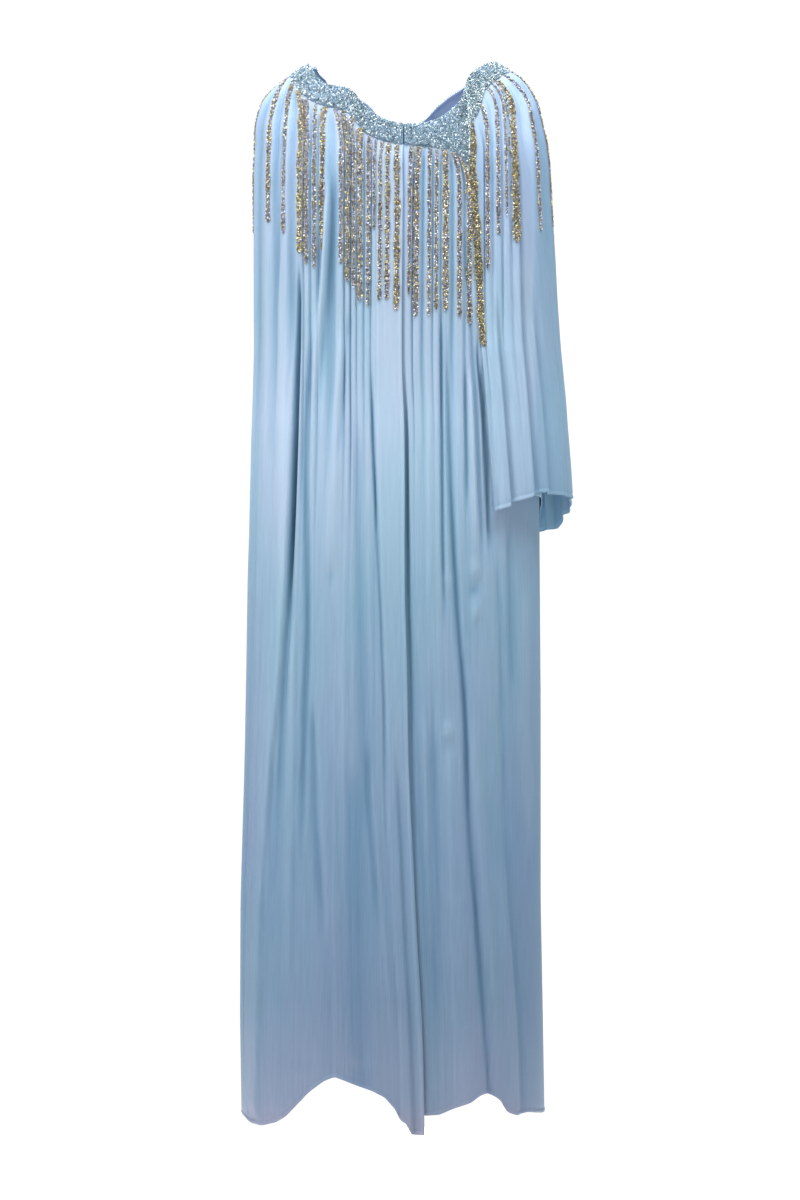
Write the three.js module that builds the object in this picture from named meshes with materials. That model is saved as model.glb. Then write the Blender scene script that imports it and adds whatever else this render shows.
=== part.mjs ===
// A long open-front kaftan of silk satin, gathered onto a wide beaded neck band.
// Millimetres, +Z up, the front faces -Y and z = 0 is the top of the shoulders.
import * as THREE from 'three';

// ---- driving dimensions ----
const satinWall = 1.6;          // cloth wall, through its hems and seams
const bandWall = 2.6;           // the band is interlined and stands a little proud
const bandProud = 1.1;
const beadStandOff = 0.35;      // the bead rows lie just off the cloth
const beadHeight = 2;
const beadRowWidth = 9.5;
const seamGap = 0.3;            // between neighbouring pieces
const ovalPower = 2.3;          // fullness of the garment's oval section
const fanLength = 65;           // below the band the gathers spread over this length
const armholeZ = -400;          // bottom of the deep raglan armholes
const chestZ = -200;
const gatherDepth = 4.2;
const gatherStart = 22;         // the gathers reach their depth this far below the band
const gatherFadeZ = -640;       // the even gathers have softened into folds here
const gatherFade = 0.9;         // by this share of their depth
const gatherCrown = 0.29;       // half of a gather's crown, as a share of the way to the next
const beyondEdge = 1.6;         // a gather's neighbour across a seam lies this far past the edge
const lapWidth = 30;            // the left front laps over the right one by this much
const lapLift = 2.3;
const underlapDepth = 2.2;      // the right front's lapped part is set back behind the left
const openingGroove = 4;        // and comes forward again this far past the opening
const innerSleeveGap = 3;       // the sleeve's under layer hangs this far off the body
const sleeveEdgeGap = 12;       // depth of the sleeve's folded edges at the cuff
const freeLength = 225;         // of the sleeve below the armhole
const pleatDepth = 7;           // of the sleeve's deepest pleats
const pleatStartZ = -260;       // where they begin, and the length over which they deepen
const pleatGrowth = 300;
const pleatRoom = 0.42;         // the share of the sleeve's stand-off that a pleat may take
const clothRoom = 4.5;          // and this much more below the gathered yoke
const yokeDepth = 60;           // above the armhole
const fadeAbove = 80;           // the gathers begin to soften this far above the armhole
const lapBlend = 12;            // beyond the lap the panel's relief comes back within this
const lapRamp = 10;
const gussetLength = 40;        // the under layer leaves the body over this length
const foldOnset = 0.18;         // share of a fold's length over which it deepens
const foldEaseFrom = 0.7;       // and from where it eases to a quarter of its depth
const foldEased = 0.75;

// The garment's outer form at each height: how far it reaches from the centre line
const sections = [
  { z: 6, left: 120, right: 126, front: 7, back: 7 },
  { z: 0, left: 129, right: 139, front: 17, back: 17 },
  { z: -7, left: 141, right: 151, front: 28, back: 27 },
  { z: -14, left: 153, right: 165, front: 36, back: 34 },
  { z: -21, left: 164, right: 173, front: 42, back: 40 },
  { z: -35, left: 179, right: 183, front: 51, back: 48 },
  { z: -49, left: 192, right: 189, front: 58, back: 55 },
  { z: -63, left: 197, right: 190, front: 64, back: 60 },
  { z: -84, left: 203, right: 190, front: 73, back: 68 },
  { z: -115, left: 203, right: 190, front: 83, back: 78 },
  { z: -147, left: 205, right: 190, front: 89, back: 85 },
  { z: -250, left: 205, right: 190, front: 98, back: 94 },
  { z: -400, left: 205, right: 190, front: 106, back: 103 },
  { z: -609, left: 210, right: 195, front: 114, back: 114 },
  { z: -890, left: 216, right: 197, front: 124, back: 126 },
  { z: -1169, left: 223, right: 197, front: 133, back: 137 },
  { z: -1330, left: 224, right: 200, front: 138, back: 143 },
  { z: -1510, left: 221, right: 203, front: 143, back: 149 },
];

// The band's two edges from the left shoulder ridge over the front to the right one
const frontBandEdges = [
  { topX: -128, topZ: 1, lowX: -153, lowZ: -14 },
  { topX: -121, topZ: -7, lowX: -147, lowZ: -21 },
  { topX: -114, topZ: -19, lowX: -134, lowZ: -46 },
  { topX: -106, topZ: -29, lowX: -122, lowZ: -55 },
  { topX: -90, topZ: -32, lowX: -104, lowZ: -62 },
  { topX: -73, topZ: -35, lowX: -85, lowZ: -66 },
  { topX: -63, topZ: -42, lowX: -68, lowZ: -74 },
  { topX: -52, topZ: -58, lowX: -56, lowZ: -92 },
  { topX: -38, topZ: -71, lowX: -44, lowZ: -104 },
  { topX: -18, topZ: -82, lowX: -24, lowZ: -111 },
  { topX: 5, topZ: -87, lowX: 5, lowZ: -117 },
  { topX: 28, topZ: -87, lowX: 30, lowZ: -119 },
  { topX: 53, topZ: -80, lowX: 53, lowZ: -121 },
  { topX: 70, topZ: -68, lowX: 70, lowZ: -124 },
  { topX: 83, topZ: -54, lowX: 83, lowZ: -132 },
  { topX: 90, topZ: -38, lowX: 96.6, lowZ: -150 },
  { topX: 92, topZ: -30, lowX: 97.3, lowZ: -90 },
  { topX: 95, topZ: -17, lowX: 109, lowZ: -72 },
  { topX: 105, topZ: -8, lowX: 115, lowZ: -42 },
  { topX: 116, topZ: -1, lowX: 127, lowZ: -28 },
  { topX: 125, topZ: 3, lowX: 142, lowZ: -16 },
  { topX: 131, topZ: 4, lowX: 151, lowZ: -7 },
];
// The same from the right shoulder ridge round the back to the left one
const backBandEdges = [
  { topX: 131, topZ: 4, lowX: 151, lowZ: -7 },
  { topX: 116, topZ: -6, lowX: 143, lowZ: -17 },
  { topX: 104, topZ: -17, lowX: 127, lowZ: -34 },
  { topX: 90, topZ: -28, lowX: 106, lowZ: -56 },
  { topX: 70, topZ: -40, lowX: 84, lowZ: -74 },
  { topX: 52, topZ: -54, lowX: 62, lowZ: -90 },
  { topX: 36, topZ: -72, lowX: 42, lowZ: -105 },
  { topX: 18, topZ: -84, lowX: 20, lowZ: -116 },
  { topX: -4, topZ: -88, lowX: -5, lowZ: -119 },
  { topX: -24, topZ: -80, lowX: -28, lowZ: -113 },
  { topX: -38, topZ: -58, lowX: -50, lowZ: -96 },
  { topX: -52, topZ: -46, lowX: -70, lowZ: -80 },
  { topX: -74, topZ: -40, lowX: -91, lowZ: -68 },
  { topX: -96, topZ: -34, lowX: -114, lowZ: -57 },
  { topX: -104, topZ: -18, lowX: -132, lowZ: -41 },
  { topX: -116, topZ: -4, lowX: -146, lowZ: -22 },
  { topX: -128, topZ: 1, lowX: -153, lowZ: -14 },
];

// Gathers: each carries a row of beads down to beadZ. Angles are degrees round the
// garment from the centre front, towards the right: on the band, and below the fan.
const gathersFrontLeft = [
  { top: -98, low: -87, beadZ: -236 },
  { top: -82, low: -62, beadZ: -224 },
  { top: -62, low: -50, beadZ: -240 },
  { top: -50.5, low: -41, beadZ: -268 },
  { top: -39.5, low: -36.5, beadZ: -282 },
  { top: -34, low: -32.5, beadZ: -289 },
  { top: -28.5, low: -29, beadZ: -263 },
  { top: -24.5, low: -20.5, beadZ: -284 },
  { top: -20.8, low: -17.8, beadZ: -308 },
  { top: -17, low: -15.4, beadZ: -317 },
  { top: -13, low: -13, beadZ: -334 },
  { top: -9.4, low: -10, beadZ: -341 },
  { top: -7, low: -8, beadZ: -236 },
  { top: -4.8, low: -6, beadZ: -334 },
  { top: -2.9, low: -3.6, beadZ: -334 },
  { top: -0.7, low: -0.9, beadZ: -348 },
];
const gathersFrontRight = [
  { top: 3.5, low: 3, beadZ: -326 },
  { top: 6.6, low: 5.2, beadZ: -356 },
  { top: 10, low: 10, beadZ: -355 },
  { top: 12.8, low: 12.8, beadZ: -346 },
  { top: 16.2, low: 16.6, beadZ: -348 },
  { top: 19.6, low: 22.6, beadZ: -356 },
  { top: 22.4, low: 27.6, beadZ: -366 },
];
const gathersSleeveRight = [
  { top: 29, low: 34.5, beadZ: -397, pleat: 0.1 },
  { top: 35.5, low: 38.5, beadZ: -290, pleat: 1.2 },
  { top: 40, low: 43, beadZ: -202, pleat: 0.35 },
  { top: 45, low: 48, beadZ: -240, pleat: 1.3 },
  { top: 53, low: 57, beadZ: -248, pleat: 0.5 },
  { top: 67, low: 68, beadZ: -236, pleat: 1.2 },
  { top: 80, low: 81, beadZ: -228, pleat: 0.4 },
  { top: 100, low: 97, beadZ: -262, pleat: 1.1 },
  { top: 119, low: 112, beadZ: -244, pleat: 0.4 },
  { top: 132, low: 125, beadZ: -300, pleat: 1.2 },
  { top: 140, low: 138, beadZ: -330, pleat: 0.3 },
];
const gathersBack = [
  { top: 149, low: 151, beadZ: -352 },
  { top: 153.4, low: 155.2, beadZ: -330 },
  { top: 157.4, low: 159, beadZ: -344 },
  { top: 161.2, low: 162.8, beadZ: -318 },
  { top: 165, low: 166.2, beadZ: -336 },
  { top: 168.8, low: 169.4, beadZ: -350 },
  { top: 172.4, low: 172.6, beadZ: -262 },
  { top: 176, low: 176, beadZ: -341 },
  { top: 179.8, low: 179.2, beadZ: -333 },
  { top: 183.4, low: 182.6, beadZ: -347 },
  { top: 187, low: 186, beadZ: -322 },
  { top: 190.8, low: 189.6, beadZ: -338 },
  { top: 194.6, low: 193.4, beadZ: -312 },
  { top: 198.2, low: 197.4, beadZ: -349 },
];
const gathersSleeveLeft = [
  { top: 207, low: 207, beadZ: -368, pleat: 0.2 },
  { top: 214, low: 215, beadZ: -286, pleat: 1.2 },
  { top: 221, low: 223, beadZ: -240, pleat: 0.4 },
  { top: 229, low: 232, beadZ: -252, pleat: 1.1 },
  { top: 236, low: 239, beadZ: -236, pleat: 0.3 },
  { top: 244, low: 246, beadZ: -244, pleat: 1 },
];

// Seams between the panels, in the same degrees
const raglanFrontRight = { top: 27.6, low: 33 };
const bandTip = 27.35;           // the band's pointed tip ends just short of that seam
const raglanBackRight = { top: 146, low: 147 };
const raglanBackLeft = { top: 201.5, low: 201 };
const raglanFrontLeft = { top: 250, low: 252 };   // the left sleeve is slid round to the back
const rightSide = 90;
const turn = 360;
const raglanSeam = [            // the front raglan seam of the right sleeve
  { z: -89, angle: 27.6 }, { z: -150, angle: 27.7 }, { z: -215, angle: 29.4 },
  { z: -400, angle: 33 },
];

// Largest folds of the panels. x runs from topX through midX to lowX; a trough is negative.
const frontFolds = [
  { topZ: -235, lowZ: -1240, topX: -141, midX: -155, lowX: -178, depth: -17, width: 12 },
  { topZ: -360, lowZ: -1300, topX: -161, midX: -174, lowX: -194, depth: 7, width: 13 },
  { topZ: -160, lowZ: -420, topX: -93, midX: -108, lowX: -120, depth: 4, width: 8 },
  { topZ: -110, lowZ: -260, topX: -165, midX: -168, lowX: -172, depth: -6, width: 8 },
  { topZ: -420, lowZ: -1200, topX: -40, midX: -28, lowX: -20, depth: -8, width: 10 },
  { topZ: -380, lowZ: -1440, topX: -120, midX: -126, lowX: -142, depth: -7, width: 10 },
  { topZ: -430, lowZ: -1380, topX: -96, midX: -98, lowX: -106, depth: -8, width: 9 },
  { topZ: -520, lowZ: -1460, topX: -74, midX: -70, lowX: -66, depth: -7, width: 11 },
  { topZ: -700, lowZ: -1500, topX: -54, midX: -48, lowX: -38, depth: 5, width: 13 },
  { topZ: -500, lowZ: -1000, topX: 48, midX: 58, lowX: 66, depth: -8, width: 9 },
  { topZ: -420, lowZ: -1480, topX: 66, midX: 92, lowX: 121, depth: -11, width: 11 },
  { topZ: -480, lowZ: -1000, topX: 104, midX: 112, lowX: 114, depth: -7, width: 9 },
  { topZ: -590, lowZ: -1500, topX: 128, midX: 146, lowX: 171, depth: -10, width: 12 },
  { topZ: -900, lowZ: -1500, topX: 50, midX: 52, lowX: 57, depth: -7, width: 10 },
];
const backFolds = [
  { topZ: -400, lowZ: -1400, topX: 92, midX: 96, lowX: 110, depth: -12, width: 12 },
  { topZ: -420, lowZ: -1480, topX: 66, midX: 58, lowX: 52, depth: -8, width: 10 },
  { topZ: -350, lowZ: -1300, topX: 30, midX: 34, lowX: 42, depth: -9, width: 10 },
  { topZ: -500, lowZ: -1500, topX: 6, midX: 2, lowX: -6, depth: 6, width: 12 },
  { topZ: -330, lowZ: -1460, topX: -22, midX: -30, lowX: -44, depth: -12, width: 12 },
  { topZ: -520, lowZ: -1500, topX: -60, midX: -70, lowX: -78, depth: -8, width: 10 },
  { topZ: -680, lowZ: -1500, topX: -110, midX: -118, lowX: -126, depth: -11, width: 13 },
  { topZ: -720, lowZ: -1500, topX: -160, midX: -166, lowX: -172, depth: -9, width: 12 },
  { topZ: -700, lowZ: -1500, topX: 144, midX: 150, lowX: 156, depth: -10, width: 12 },
];

// Height of the hem along the front and the back
const frontHem = [
  { x: -225, z: -1463 }, { x: -210, z: -1476 }, { x: -193, z: -1479 }, { x: -172, z: -1473 },
  { x: -158, z: -1464 }, { x: -143, z: -1448 }, { x: -126, z: -1430 }, { x: -105, z: -1414 },
  { x: -90, z: -1408 }, { x: -74, z: -1414 }, { x: -56, z: -1421 }, { x: -38, z: -1427 },
  { x: -20, z: -1436 }, { x: -6, z: -1452 }, { x: 4, z: -1472 }, { x: 14, z: -1487 },
  { x: 36, z: -1488 },
];
const frontRightHem = [
  { x: 0, z: -1452 }, { x: 38, z: -1461 }, { x: 57, z: -1460 }, { x: 77, z: -1451 },
  { x: 98, z: -1444 }, { x: 112, z: -1434 }, { x: 124, z: -1431 }, { x: 140, z: -1442 },
  { x: 147, z: -1458 }, { x: 161, z: -1464 }, { x: 177, z: -1460 }, { x: 210, z: -1466 },
];
const backHem = [
  { x: -225, z: -1463 }, { x: -190, z: -1449 }, { x: -150, z: -1432 }, { x: -125, z: -1414 },
  { x: -92, z: -1398 }, { x: -60, z: -1410 }, { x: -30, z: -1430 }, { x: -5, z: -1452 },
  { x: 42, z: -1440 },
  { x: 74, z: -1431 }, { x: 110, z: -1446 }, { x: 155, z: -1440 }, { x: 210, z: -1466 },
];
// The front opening, which the left front's edge follows
const openingLine = [
  { z: -90, x: 5 }, { z: -347, x: 2 }, { z: -430, x: 1 }, { z: -469, x: 5 }, { z: -520, x: 8.5 },
  { z: -665, x: 10 }, { z: -840, x: 13 }, { z: -1000, x: 14.5 }, { z: -1085, x: 18 },
  { z: -1290, x: 29 }, { z: -1510, x: 36 },
];

// How far the sleeves stand out from the body: by height, and shared out round the sleeve
const swellRight = [
  { z: 10, reach: 0 }, { z: -42, reach: 0 }, { z: -63, reach: 6 }, { z: -84, reach: 10 },
  { z: -105, reach: 16 }, { z: -133, reach: 20 }, { z: -189, reach: 23 }, { z: -245, reach: 27 },
  { z: -329, reach: 32 }, { z: -385, reach: 36 }, { z: -469, reach: 42 }, { z: -581, reach: 47 },
  { z: -670, reach: 49 },
];
const swellLeft = [
  { z: 10, reach: 0 }, { z: -60, reach: 0 }, { z: -100, reach: 10 }, { z: -189, reach: 28 },
  { z: -329, reach: 42 }, { z: -469, reach: 50 }, { z: -670, reach: 56 },
];
const spreadRight = [
  { angle: 33, share: 0 }, { angle: 42, share: 0.25 }, { angle: 55, share: 0.6 },
  { angle: 70, share: 0.9 }, { angle: 90, share: 1 }, { angle: 108, share: 0.92 },
  { angle: 125, share: 0.6 }, { angle: 138, share: 0.22 }, { angle: 147, share: 0 },
];
const spreadLeft = [
  { angle: 201, share: 0 }, { angle: 210, share: 0.45 }, { angle: 222, share: 0.95 },
  { angle: 230, share: 1 }, { angle: 238, share: 0.55 }, { angle: 244, share: 0.15 },
  { angle: 252, share: 0 },
];
// Where the armhole's end lifts off the body and the sleeve's edge runs free below it
const edgeLift = [
  { z: -300, gap: 0 }, { z: -350, gap: 0.8 }, { z: -385, gap: 3 }, { z: -400, gap: 5.6 },
  { z: -450, gap: 9 }, { z: -660, gap: sleeveEdgeGap },
];
const cuffRight = [
  { angle: 33, z: -622 }, { angle: 43, z: -620 }, { angle: 48, z: -611 }, { angle: 60, z: -607 },
  { angle: 72, z: -600 }, { angle: 88, z: -607 }, { angle: 98, z: -622 }, { angle: 110, z: -648 },
  { angle: 125, z: -655 }, { angle: 147, z: -652 },
];
const cuffLeft = [
  { angle: 201, z: -650 }, { angle: 212, z: -646 }, { angle: 225, z: -634 },
  { angle: 238, z: -622 }, { angle: 252, z: -612 },
];

// Levels of a panel, as shares of its length above and below the armhole's bottom
const upperLevels = [0, 0.03, 0.09, 0.17, 0.28, 0.42, 0.58, 0.78, 1];
const lowerLevels = [0.07, 0.18, 0.32, 0.47, 0.62, 0.77, 0.9, 1];
const sleeveLevels = [0.22, 0.46, 0.72, 1];
const armholeLevel = upperLevels.length - 1;

// Straight-line reading of a table whose key column only rises or only falls
function read(table, key, at, column) {
  const rising = table.at(-1)[key] > table[0][key];
  const past = (row) => (rising ? row[key] >= at : row[key] <= at);
  const upper = table.findIndex(past);
  if (upper === 0) return table[0][column];
  if (upper === -1) return table.at(-1)[column];
  const a = table[upper - 1];
  const b = table[upper];
  return a[column] + (b[column] - a[column]) * (at - a[key]) / (b[key] - a[key]);
}

const signedPower = (value, power) => Math.sign(value) * Math.abs(value) ** power;
const clamp01 = (value) => Math.min(1, Math.max(0, value));
const ease = (value) => clamp01(value) ** 2 * (3 - 2 * clamp01(value));

// Angle on the front or back half at which the section at z reaches x
function angleAt(x, z, onBack) {
  const reach = read(sections, 'z', z, x < 0 ? 'left' : 'right');
  const share = Math.min(1, Math.abs(x) / reach) ** (ovalPower / 2);
  const degrees = THREE.MathUtils.radToDeg(Math.asin(share));
  if (onBack) return x < 0 ? 180 + degrees : 180 - degrees;
  return x < 0 ? -degrees : degrees;
}

// A point of the garment's outer form, and the direction out of it
function formPoint(angle, z) {
  const radians = THREE.MathUtils.degToRad(angle);
  const wide = read(sections, 'z', z, Math.sin(radians) < 0 ? 'left' : 'right');
  const deep = read(sections, 'z', z, Math.cos(radians) > 0 ? 'front' : 'back');
  const x = wide * signedPower(Math.sin(radians), 2 / ovalPower);
  const y = -deep * signedPower(Math.cos(radians), 2 / ovalPower);
  return new THREE.Vector3(x, y, z);
}
function formNormal(angle, z, level) {
  const step = 0.5;
  const across = formPoint(angle + step, z).sub(formPoint(angle - step, z));
  const down = formPoint(angle, z - 6).sub(formPoint(angle, z + 6));
  const normal = across.cross(down).negate();
  if (level) normal.z = 0;
  return normal.normalize();
}

// Between the band and the chest a thread line fans out from top to low
function fanned(line, topZ, z) {
  const run = clamp01((topZ - z) / fanLength);
  return line.top + (line.low - line.top) * (1 - (1 - run) ** 3);
}

// The band by the angle of its lower edge, and that edge's height from -180 to 360 degrees
function bandTable(edges, onBack) {
  return edges.map(({ topX, topZ, lowX, lowZ }) => ({
    angle: angleAt(lowX, lowZ, onBack), z: lowZ, topAngle: angleAt(topX, topZ, onBack), topZ,
  }));
}
const bandFront = bandTable(frontBandEdges, false);
const bandBack = bandTable(backBandEdges, true);
function bandLowZ(angle) {
  const wrapped = angle < -rightSide ? angle + turn : angle;
  return read(wrapped > rightSide ? bandBack : bandFront, 'angle', wrapped, 'z');
}

function foldRelief(folds, x, z) {
  let relief = 0;
  for (const fold of folds) {
    const run = (fold.topZ - z) / (fold.topZ - fold.lowZ);
    if (run <= 0) continue;
    const bend = 4 * (fold.midX - (fold.topX + fold.lowX) / 2);
    const x0 = fold.topX + (fold.lowX - fold.topX) * run + bend * run * (1 - run);
    const eased = foldEased * ease((run - foldEaseFrom) / (1 - foldEaseFrom));
    const grow = ease(run / foldOnset) * (1 - eased);
    relief += fold.depth * grow * Math.exp(-(((x - x0) / fold.width) ** 2));
  }
  return relief;
}

// Columns of a gathered panel: both sides of each gather, and the valley to the next one
function gatherColumns(gathers, start, end) {
  const between = (a, b, share) => ({
    top: a.top + (b.top - a.top) * share, low: a.low + (b.low - a.low) * share,
  });
  const crown = (a, b) => {
    const apart = formPoint(a.low, chestZ).distanceTo(formPoint(b.low, chestZ));
    return between(a, b, Math.min(gatherCrown, beadRowWidth / 2 / apart));
  };
  const columns = [{ ...start, valley: 0, edge: true }];
  gathers.forEach((gather, index) => {
    const before = gathers[index - 1] ?? between(gather, start, beyondEdge);
    const after = gathers[index + 1] ?? between(gather, end, beyondEdge);
    columns.push({ ...crown(gather, before), valley: 0, bead: index });
    columns.push({ ...crown(gather, after), valley: 0, bead: index });
    if (gathers[index + 1]) {
      columns.push({ ...between(gather, after, 0.5), valley: 1, pleat: gather.pleat });
    }
  });
  columns.push({ ...end, valley: 0, edge: true });
  return columns;
}
const isAnchor = (column) => column.bead === undefined && !column.under && !column.shift;

// Between two valleys the band's edge is straight, and the cloth is sewn along it
function seated(grid, columns) {
  const anchors = columns.flatMap((column, index) => (isAnchor(column) ? [index] : []));
  const angleOf = (index) => columns[index].top;
  anchors.slice(1).forEach((right, order) => {
    const left = anchors[order];
    for (let index = left + 1; index < right; index += 1) {
      const share = (angleOf(index) - angleOf(left)) / (angleOf(right) - angleOf(left));
      grid[index][0].lerpVectors(grid[left][0], grid[right][0], share);
      grid[index][0].out = grid[left][0].out.clone().lerp(grid[right][0].out, share).normalize();
    }
  });
  return grid;
}

// Closed wall between two offsets of a grid of points, along each point's own direction
// out where it has one, or else its cells' normals. Cells that are off leave it open.
function wall(grid, isCell, inside, outside, wraps = false) {
  const rows = grid[0].length;
  const count = grid.length;
  const last = wraps ? count : count - 1;
  const next = (column) => (column + 1) % count;
  const normals = grid.map((column) => column.map(() => new THREE.Vector3()));
  const cells = [];
  for (let column = 0; column < last; column += 1) {
    for (let row = 0; row < rows - 1; row += 1) {
      if (isCell(column, row)) cells.push([column, row]);
    }
  }
  const corners = ([column, row]) => [
    [column, row], [next(column), row], [next(column), row + 1], [column, row + 1]];
  for (const cell of cells) {
    const [a, b, c, d] = corners(cell).map(([i, j]) => grid[i][j]);
    const across = b.clone().add(c).sub(a).sub(d);
    const down = c.clone().add(d).sub(a).sub(b);
    const normal = down.cross(across).normalize();
    corners(cell).forEach(([i, j]) => normals[i][j].add(normal));
  }
  const positions = [];
  const indexOf = new Map();
  const vertex = (i, j, side) => {
    const key = `${i},${j},${side}`;
    if (!indexOf.has(key)) {
      const offset = side === 'out' ? outside : inside;
      const out = grid[i][j].out ?? normals[i][j].clone().normalize();
      const point = grid[i][j].clone().addScaledVector(out, offset);
      indexOf.set(key, positions.length / 3);
      positions.push(point.x, point.y, point.z);
    }
    return indexOf.get(key);
  };
  const triangles = [];
  const isOn = new Set(cells.map(([i, j]) => `${i},${j}`));
  for (const cell of cells) {
    const [a, b, c, d] = corners(cell).map(([i, j]) => vertex(i, j, 'out'));
    const [e, f, g, h] = corners(cell).map(([i, j]) => vertex(i, j, 'in'));
    triangles.push(a, d, b, b, d, c);
    triangles.push(e, f, h, f, g, h);
    const [i, j] = cell;
    const before = wraps ? (i + count - 1) % count : i - 1;
    if (!isOn.has(`${i},${j - 1}`)) triangles.push(a, b, e, b, f, e);
    if (!isOn.has(`${i},${j + 1}`)) triangles.push(c, d, g, d, h, g);
    if (!isOn.has(`${before},${j}`)) triangles.push(d, a, h, a, e, h);
    if (!isOn.has(`${wraps ? next(i) : i + 1},${j}`)) triangles.push(b, c, f, c, g, f);
  }
  const geometry = new THREE.BufferGeometry();
  geometry.setAttribute('position', new THREE.Float32BufferAttribute(positions, 3));
  geometry.setIndex(triangles);
  geometry.computeVertexNormals();
  return geometry;
}

// Pulls a grid's outer lines in, so that neighbouring pieces stand a seam's gap apart
function trimmed(grid, sides, gap = seamGap / 2) {
  const duplicate = (point) => Object.assign(point.clone(), { out: point.out });
  const pull = (edge, inner) => {
    const length = edge.distanceTo(inner);
    return length > 0 ? duplicate(edge).lerp(inner, gap / length) : duplicate(edge);
  };
  const copy = grid.map((column) => column.map(duplicate));
  const low = grid[0].length - 1;
  if (sides.includes('start')) copy[0] = grid[0].map((point, row) => pull(point, grid[1][row]));
  if (sides.includes('end')) {
    copy[copy.length - 1] = grid.at(-1).map((point, row) => pull(point, grid.at(-2)[row]));
  }
  for (const column of copy) {
    if (sides.includes('top')) column[0] = pull(column[0], column[1]);
    if (sides.includes('low')) column[low] = pull(column[low], column[low - 1]);
  }
  return copy;
}

// ---- panels that hang from the band to the hem ----
function bodyRelief(column, angle, z, topZ, point) {
  const onFront = Math.abs(angle) < 90;
  const grown = clamp01((topZ - z) / gatherStart);
  const fadeTopZ = armholeZ + fadeAbove;
  const faded = 1 - gatherFade * ease((fadeTopZ - z) / (fadeTopZ - gatherFadeZ));
  const gather = -gatherDepth * column.valley * grown * faded;
  const folds = foldRelief(onFront ? frontFolds : backFolds, point.x, z);
  return column.edge && z > armholeZ - 1 ? 0 : gather + folds;
}

function bodyGrid(columns, hemZ, adjust) {
  return columns.map((column) => {
    const topZ = column.under ? armholeZ : bandLowZ(column.top);
    const bottomZ = hemZ(column);
    const levels = [
      ...upperLevels.map((share) => topZ + (armholeZ - topZ) * share),
      ...lowerLevels.map((share) => armholeZ + (bottomZ - armholeZ) * share),
    ];
    return levels.map((z, row) => adjust(column, topZ, z, row));
  });
}

function hemAt(table, column, shift = 0) {
  return read(table, 'x', formPoint(column.low, table[0].z).x + shift, 'z');
}

// A point on the form moved out by relief; at seams it keeps the form's own direction out
function relieved(angle, z, relief, onSeam) {
  const out = formNormal(angle, z);
  const point = formPoint(angle, z).addScaledVector(out, relief);
  return onSeam ? Object.assign(point, { out }) : point;
}

// The columns beside the opening are slid sideways to follow its line
const openingX = (z) => read(openingLine, 'z', z, 'x');
const openingDrift = openingX(-1510) - openingX(-400);
function slid(angle, z, shift) {
  return angleAt(formPoint(angle, z).x + shift, z, false);
}

// The left front: its free edge follows the opening and laps over the right front
const leftEdge = { top: 0.87, low: 0.4 };
const leftColumns = gatherColumns(gathersFrontLeft, { top: -110, low: -108 }, leftEdge);
const followSpan = 26;          // degrees from the opening over which the columns follow it
const follows = (column) => (column.under ? 0 : clamp01(1 - Math.abs(column.low) / followSpan));
const frontLeftGrid = trimmed(seated(bodyGrid(
  leftColumns,
  (column) => hemAt(frontHem, column, openingDrift * follows(column)),
  (column, topZ, z, row) => {
    const edgeX = formPoint(fanned(leftEdge, topZ, z), z).x;
    let angle = fanned(column, topZ, z);
    if (follows(column) > 0) angle = slid(angle, z, (openingX(z) - edgeX) * follows(column));
    const point = formPoint(angle, z);
    const lap = ease((point.x - openingX(z) + lapWidth + lapBlend) / lapRamp);
    const lifted = lapLift * lap * clamp01((topZ - z) / gatherStart);
    const relief = bodyRelief(column, angle, z, topZ, point) * (1 - lap) + lifted;
    return relieved(angle, z, relief, row === 0 || column === leftColumns[0]);
  },
), leftColumns), ['start', 'top']);

// The right front: its underlap, its gathers, and the part below the armhole to the side
const underColumn = (angle) => (
  { top: angle, low: angle, valley: 0.3, under: true, edge: angle === rightSide });
const underRight = [41, 49, 58, 68, 79, rightSide].map(underColumn);
const underlap = [-lapWidth, -lapWidth / 2, 0.5].map((shift) => (
  { top: 0.87, low: 0.87, valley: 0, shift }));
const rightEdge = { top: 1.75, low: 1.75 };
const rightColumns = [
  ...underlap,
  ...gatherColumns(gathersFrontRight, rightEdge, { top: bandTip, low: raglanFrontRight.low, seam: true }),
  ...underRight,
];
const raglanColumnRight = rightColumns.length - underRight.length - 1;
const frontRightGrid = trimmed(seated(bodyGrid(
  rightColumns,
  (column) => hemAt(frontRightHem, column, (openingDrift + (column.shift ?? 0)) * follows(column)),
  (column, topZ, z, row) => {
    if (column.shift) return relieved(angleAt(openingX(z) + column.shift, z, false), z, -underlapDepth);
    const edgeX = formPoint(fanned(rightEdge, topZ, z), z).x - openingGroove;
    let angle = fanned(column, topZ, z);
    if (follows(column) > 0) angle = slid(angle, z, (openingX(z) - edgeX) * follows(column));
    if (column.seam && row > 0) angle = read(raglanSeam, 'z', z, 'angle');
    const relief = bodyRelief(column, angle, z, topZ, formPoint(angle, z));
    return relieved(angle, z, relief, row === 0 || column.edge);
  },
), rightColumns), ['end', 'top']);

// The back, with the parts below both armholes out to the side seams
const underBackRight = [rightSide, 101, 112, 122, 131, 139].map(underColumn);
const underBackLeft = [209, 217, 226, 235, 244].map(underColumn);
const backColumns = [
  ...underBackRight,
  ...gatherColumns(gathersBack, raglanBackRight, raglanBackLeft),
  ...underBackLeft,
  { ...underColumn(raglanFrontLeft.low), edge: true, valley: 0 },
];
const backGrid = trimmed(seated(bodyGrid(
  backColumns,
  (column) => hemAt(backHem, column),
  (column, topZ, z, row) => {
    const angle = fanned(column, topZ, z);
    const relief = bodyRelief(column, angle, z, topZ, formPoint(angle, z));
    return relieved(angle, z, relief, row === 0 || column.edge);
  },
), backColumns), ['start', 'end', 'top']);

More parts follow.
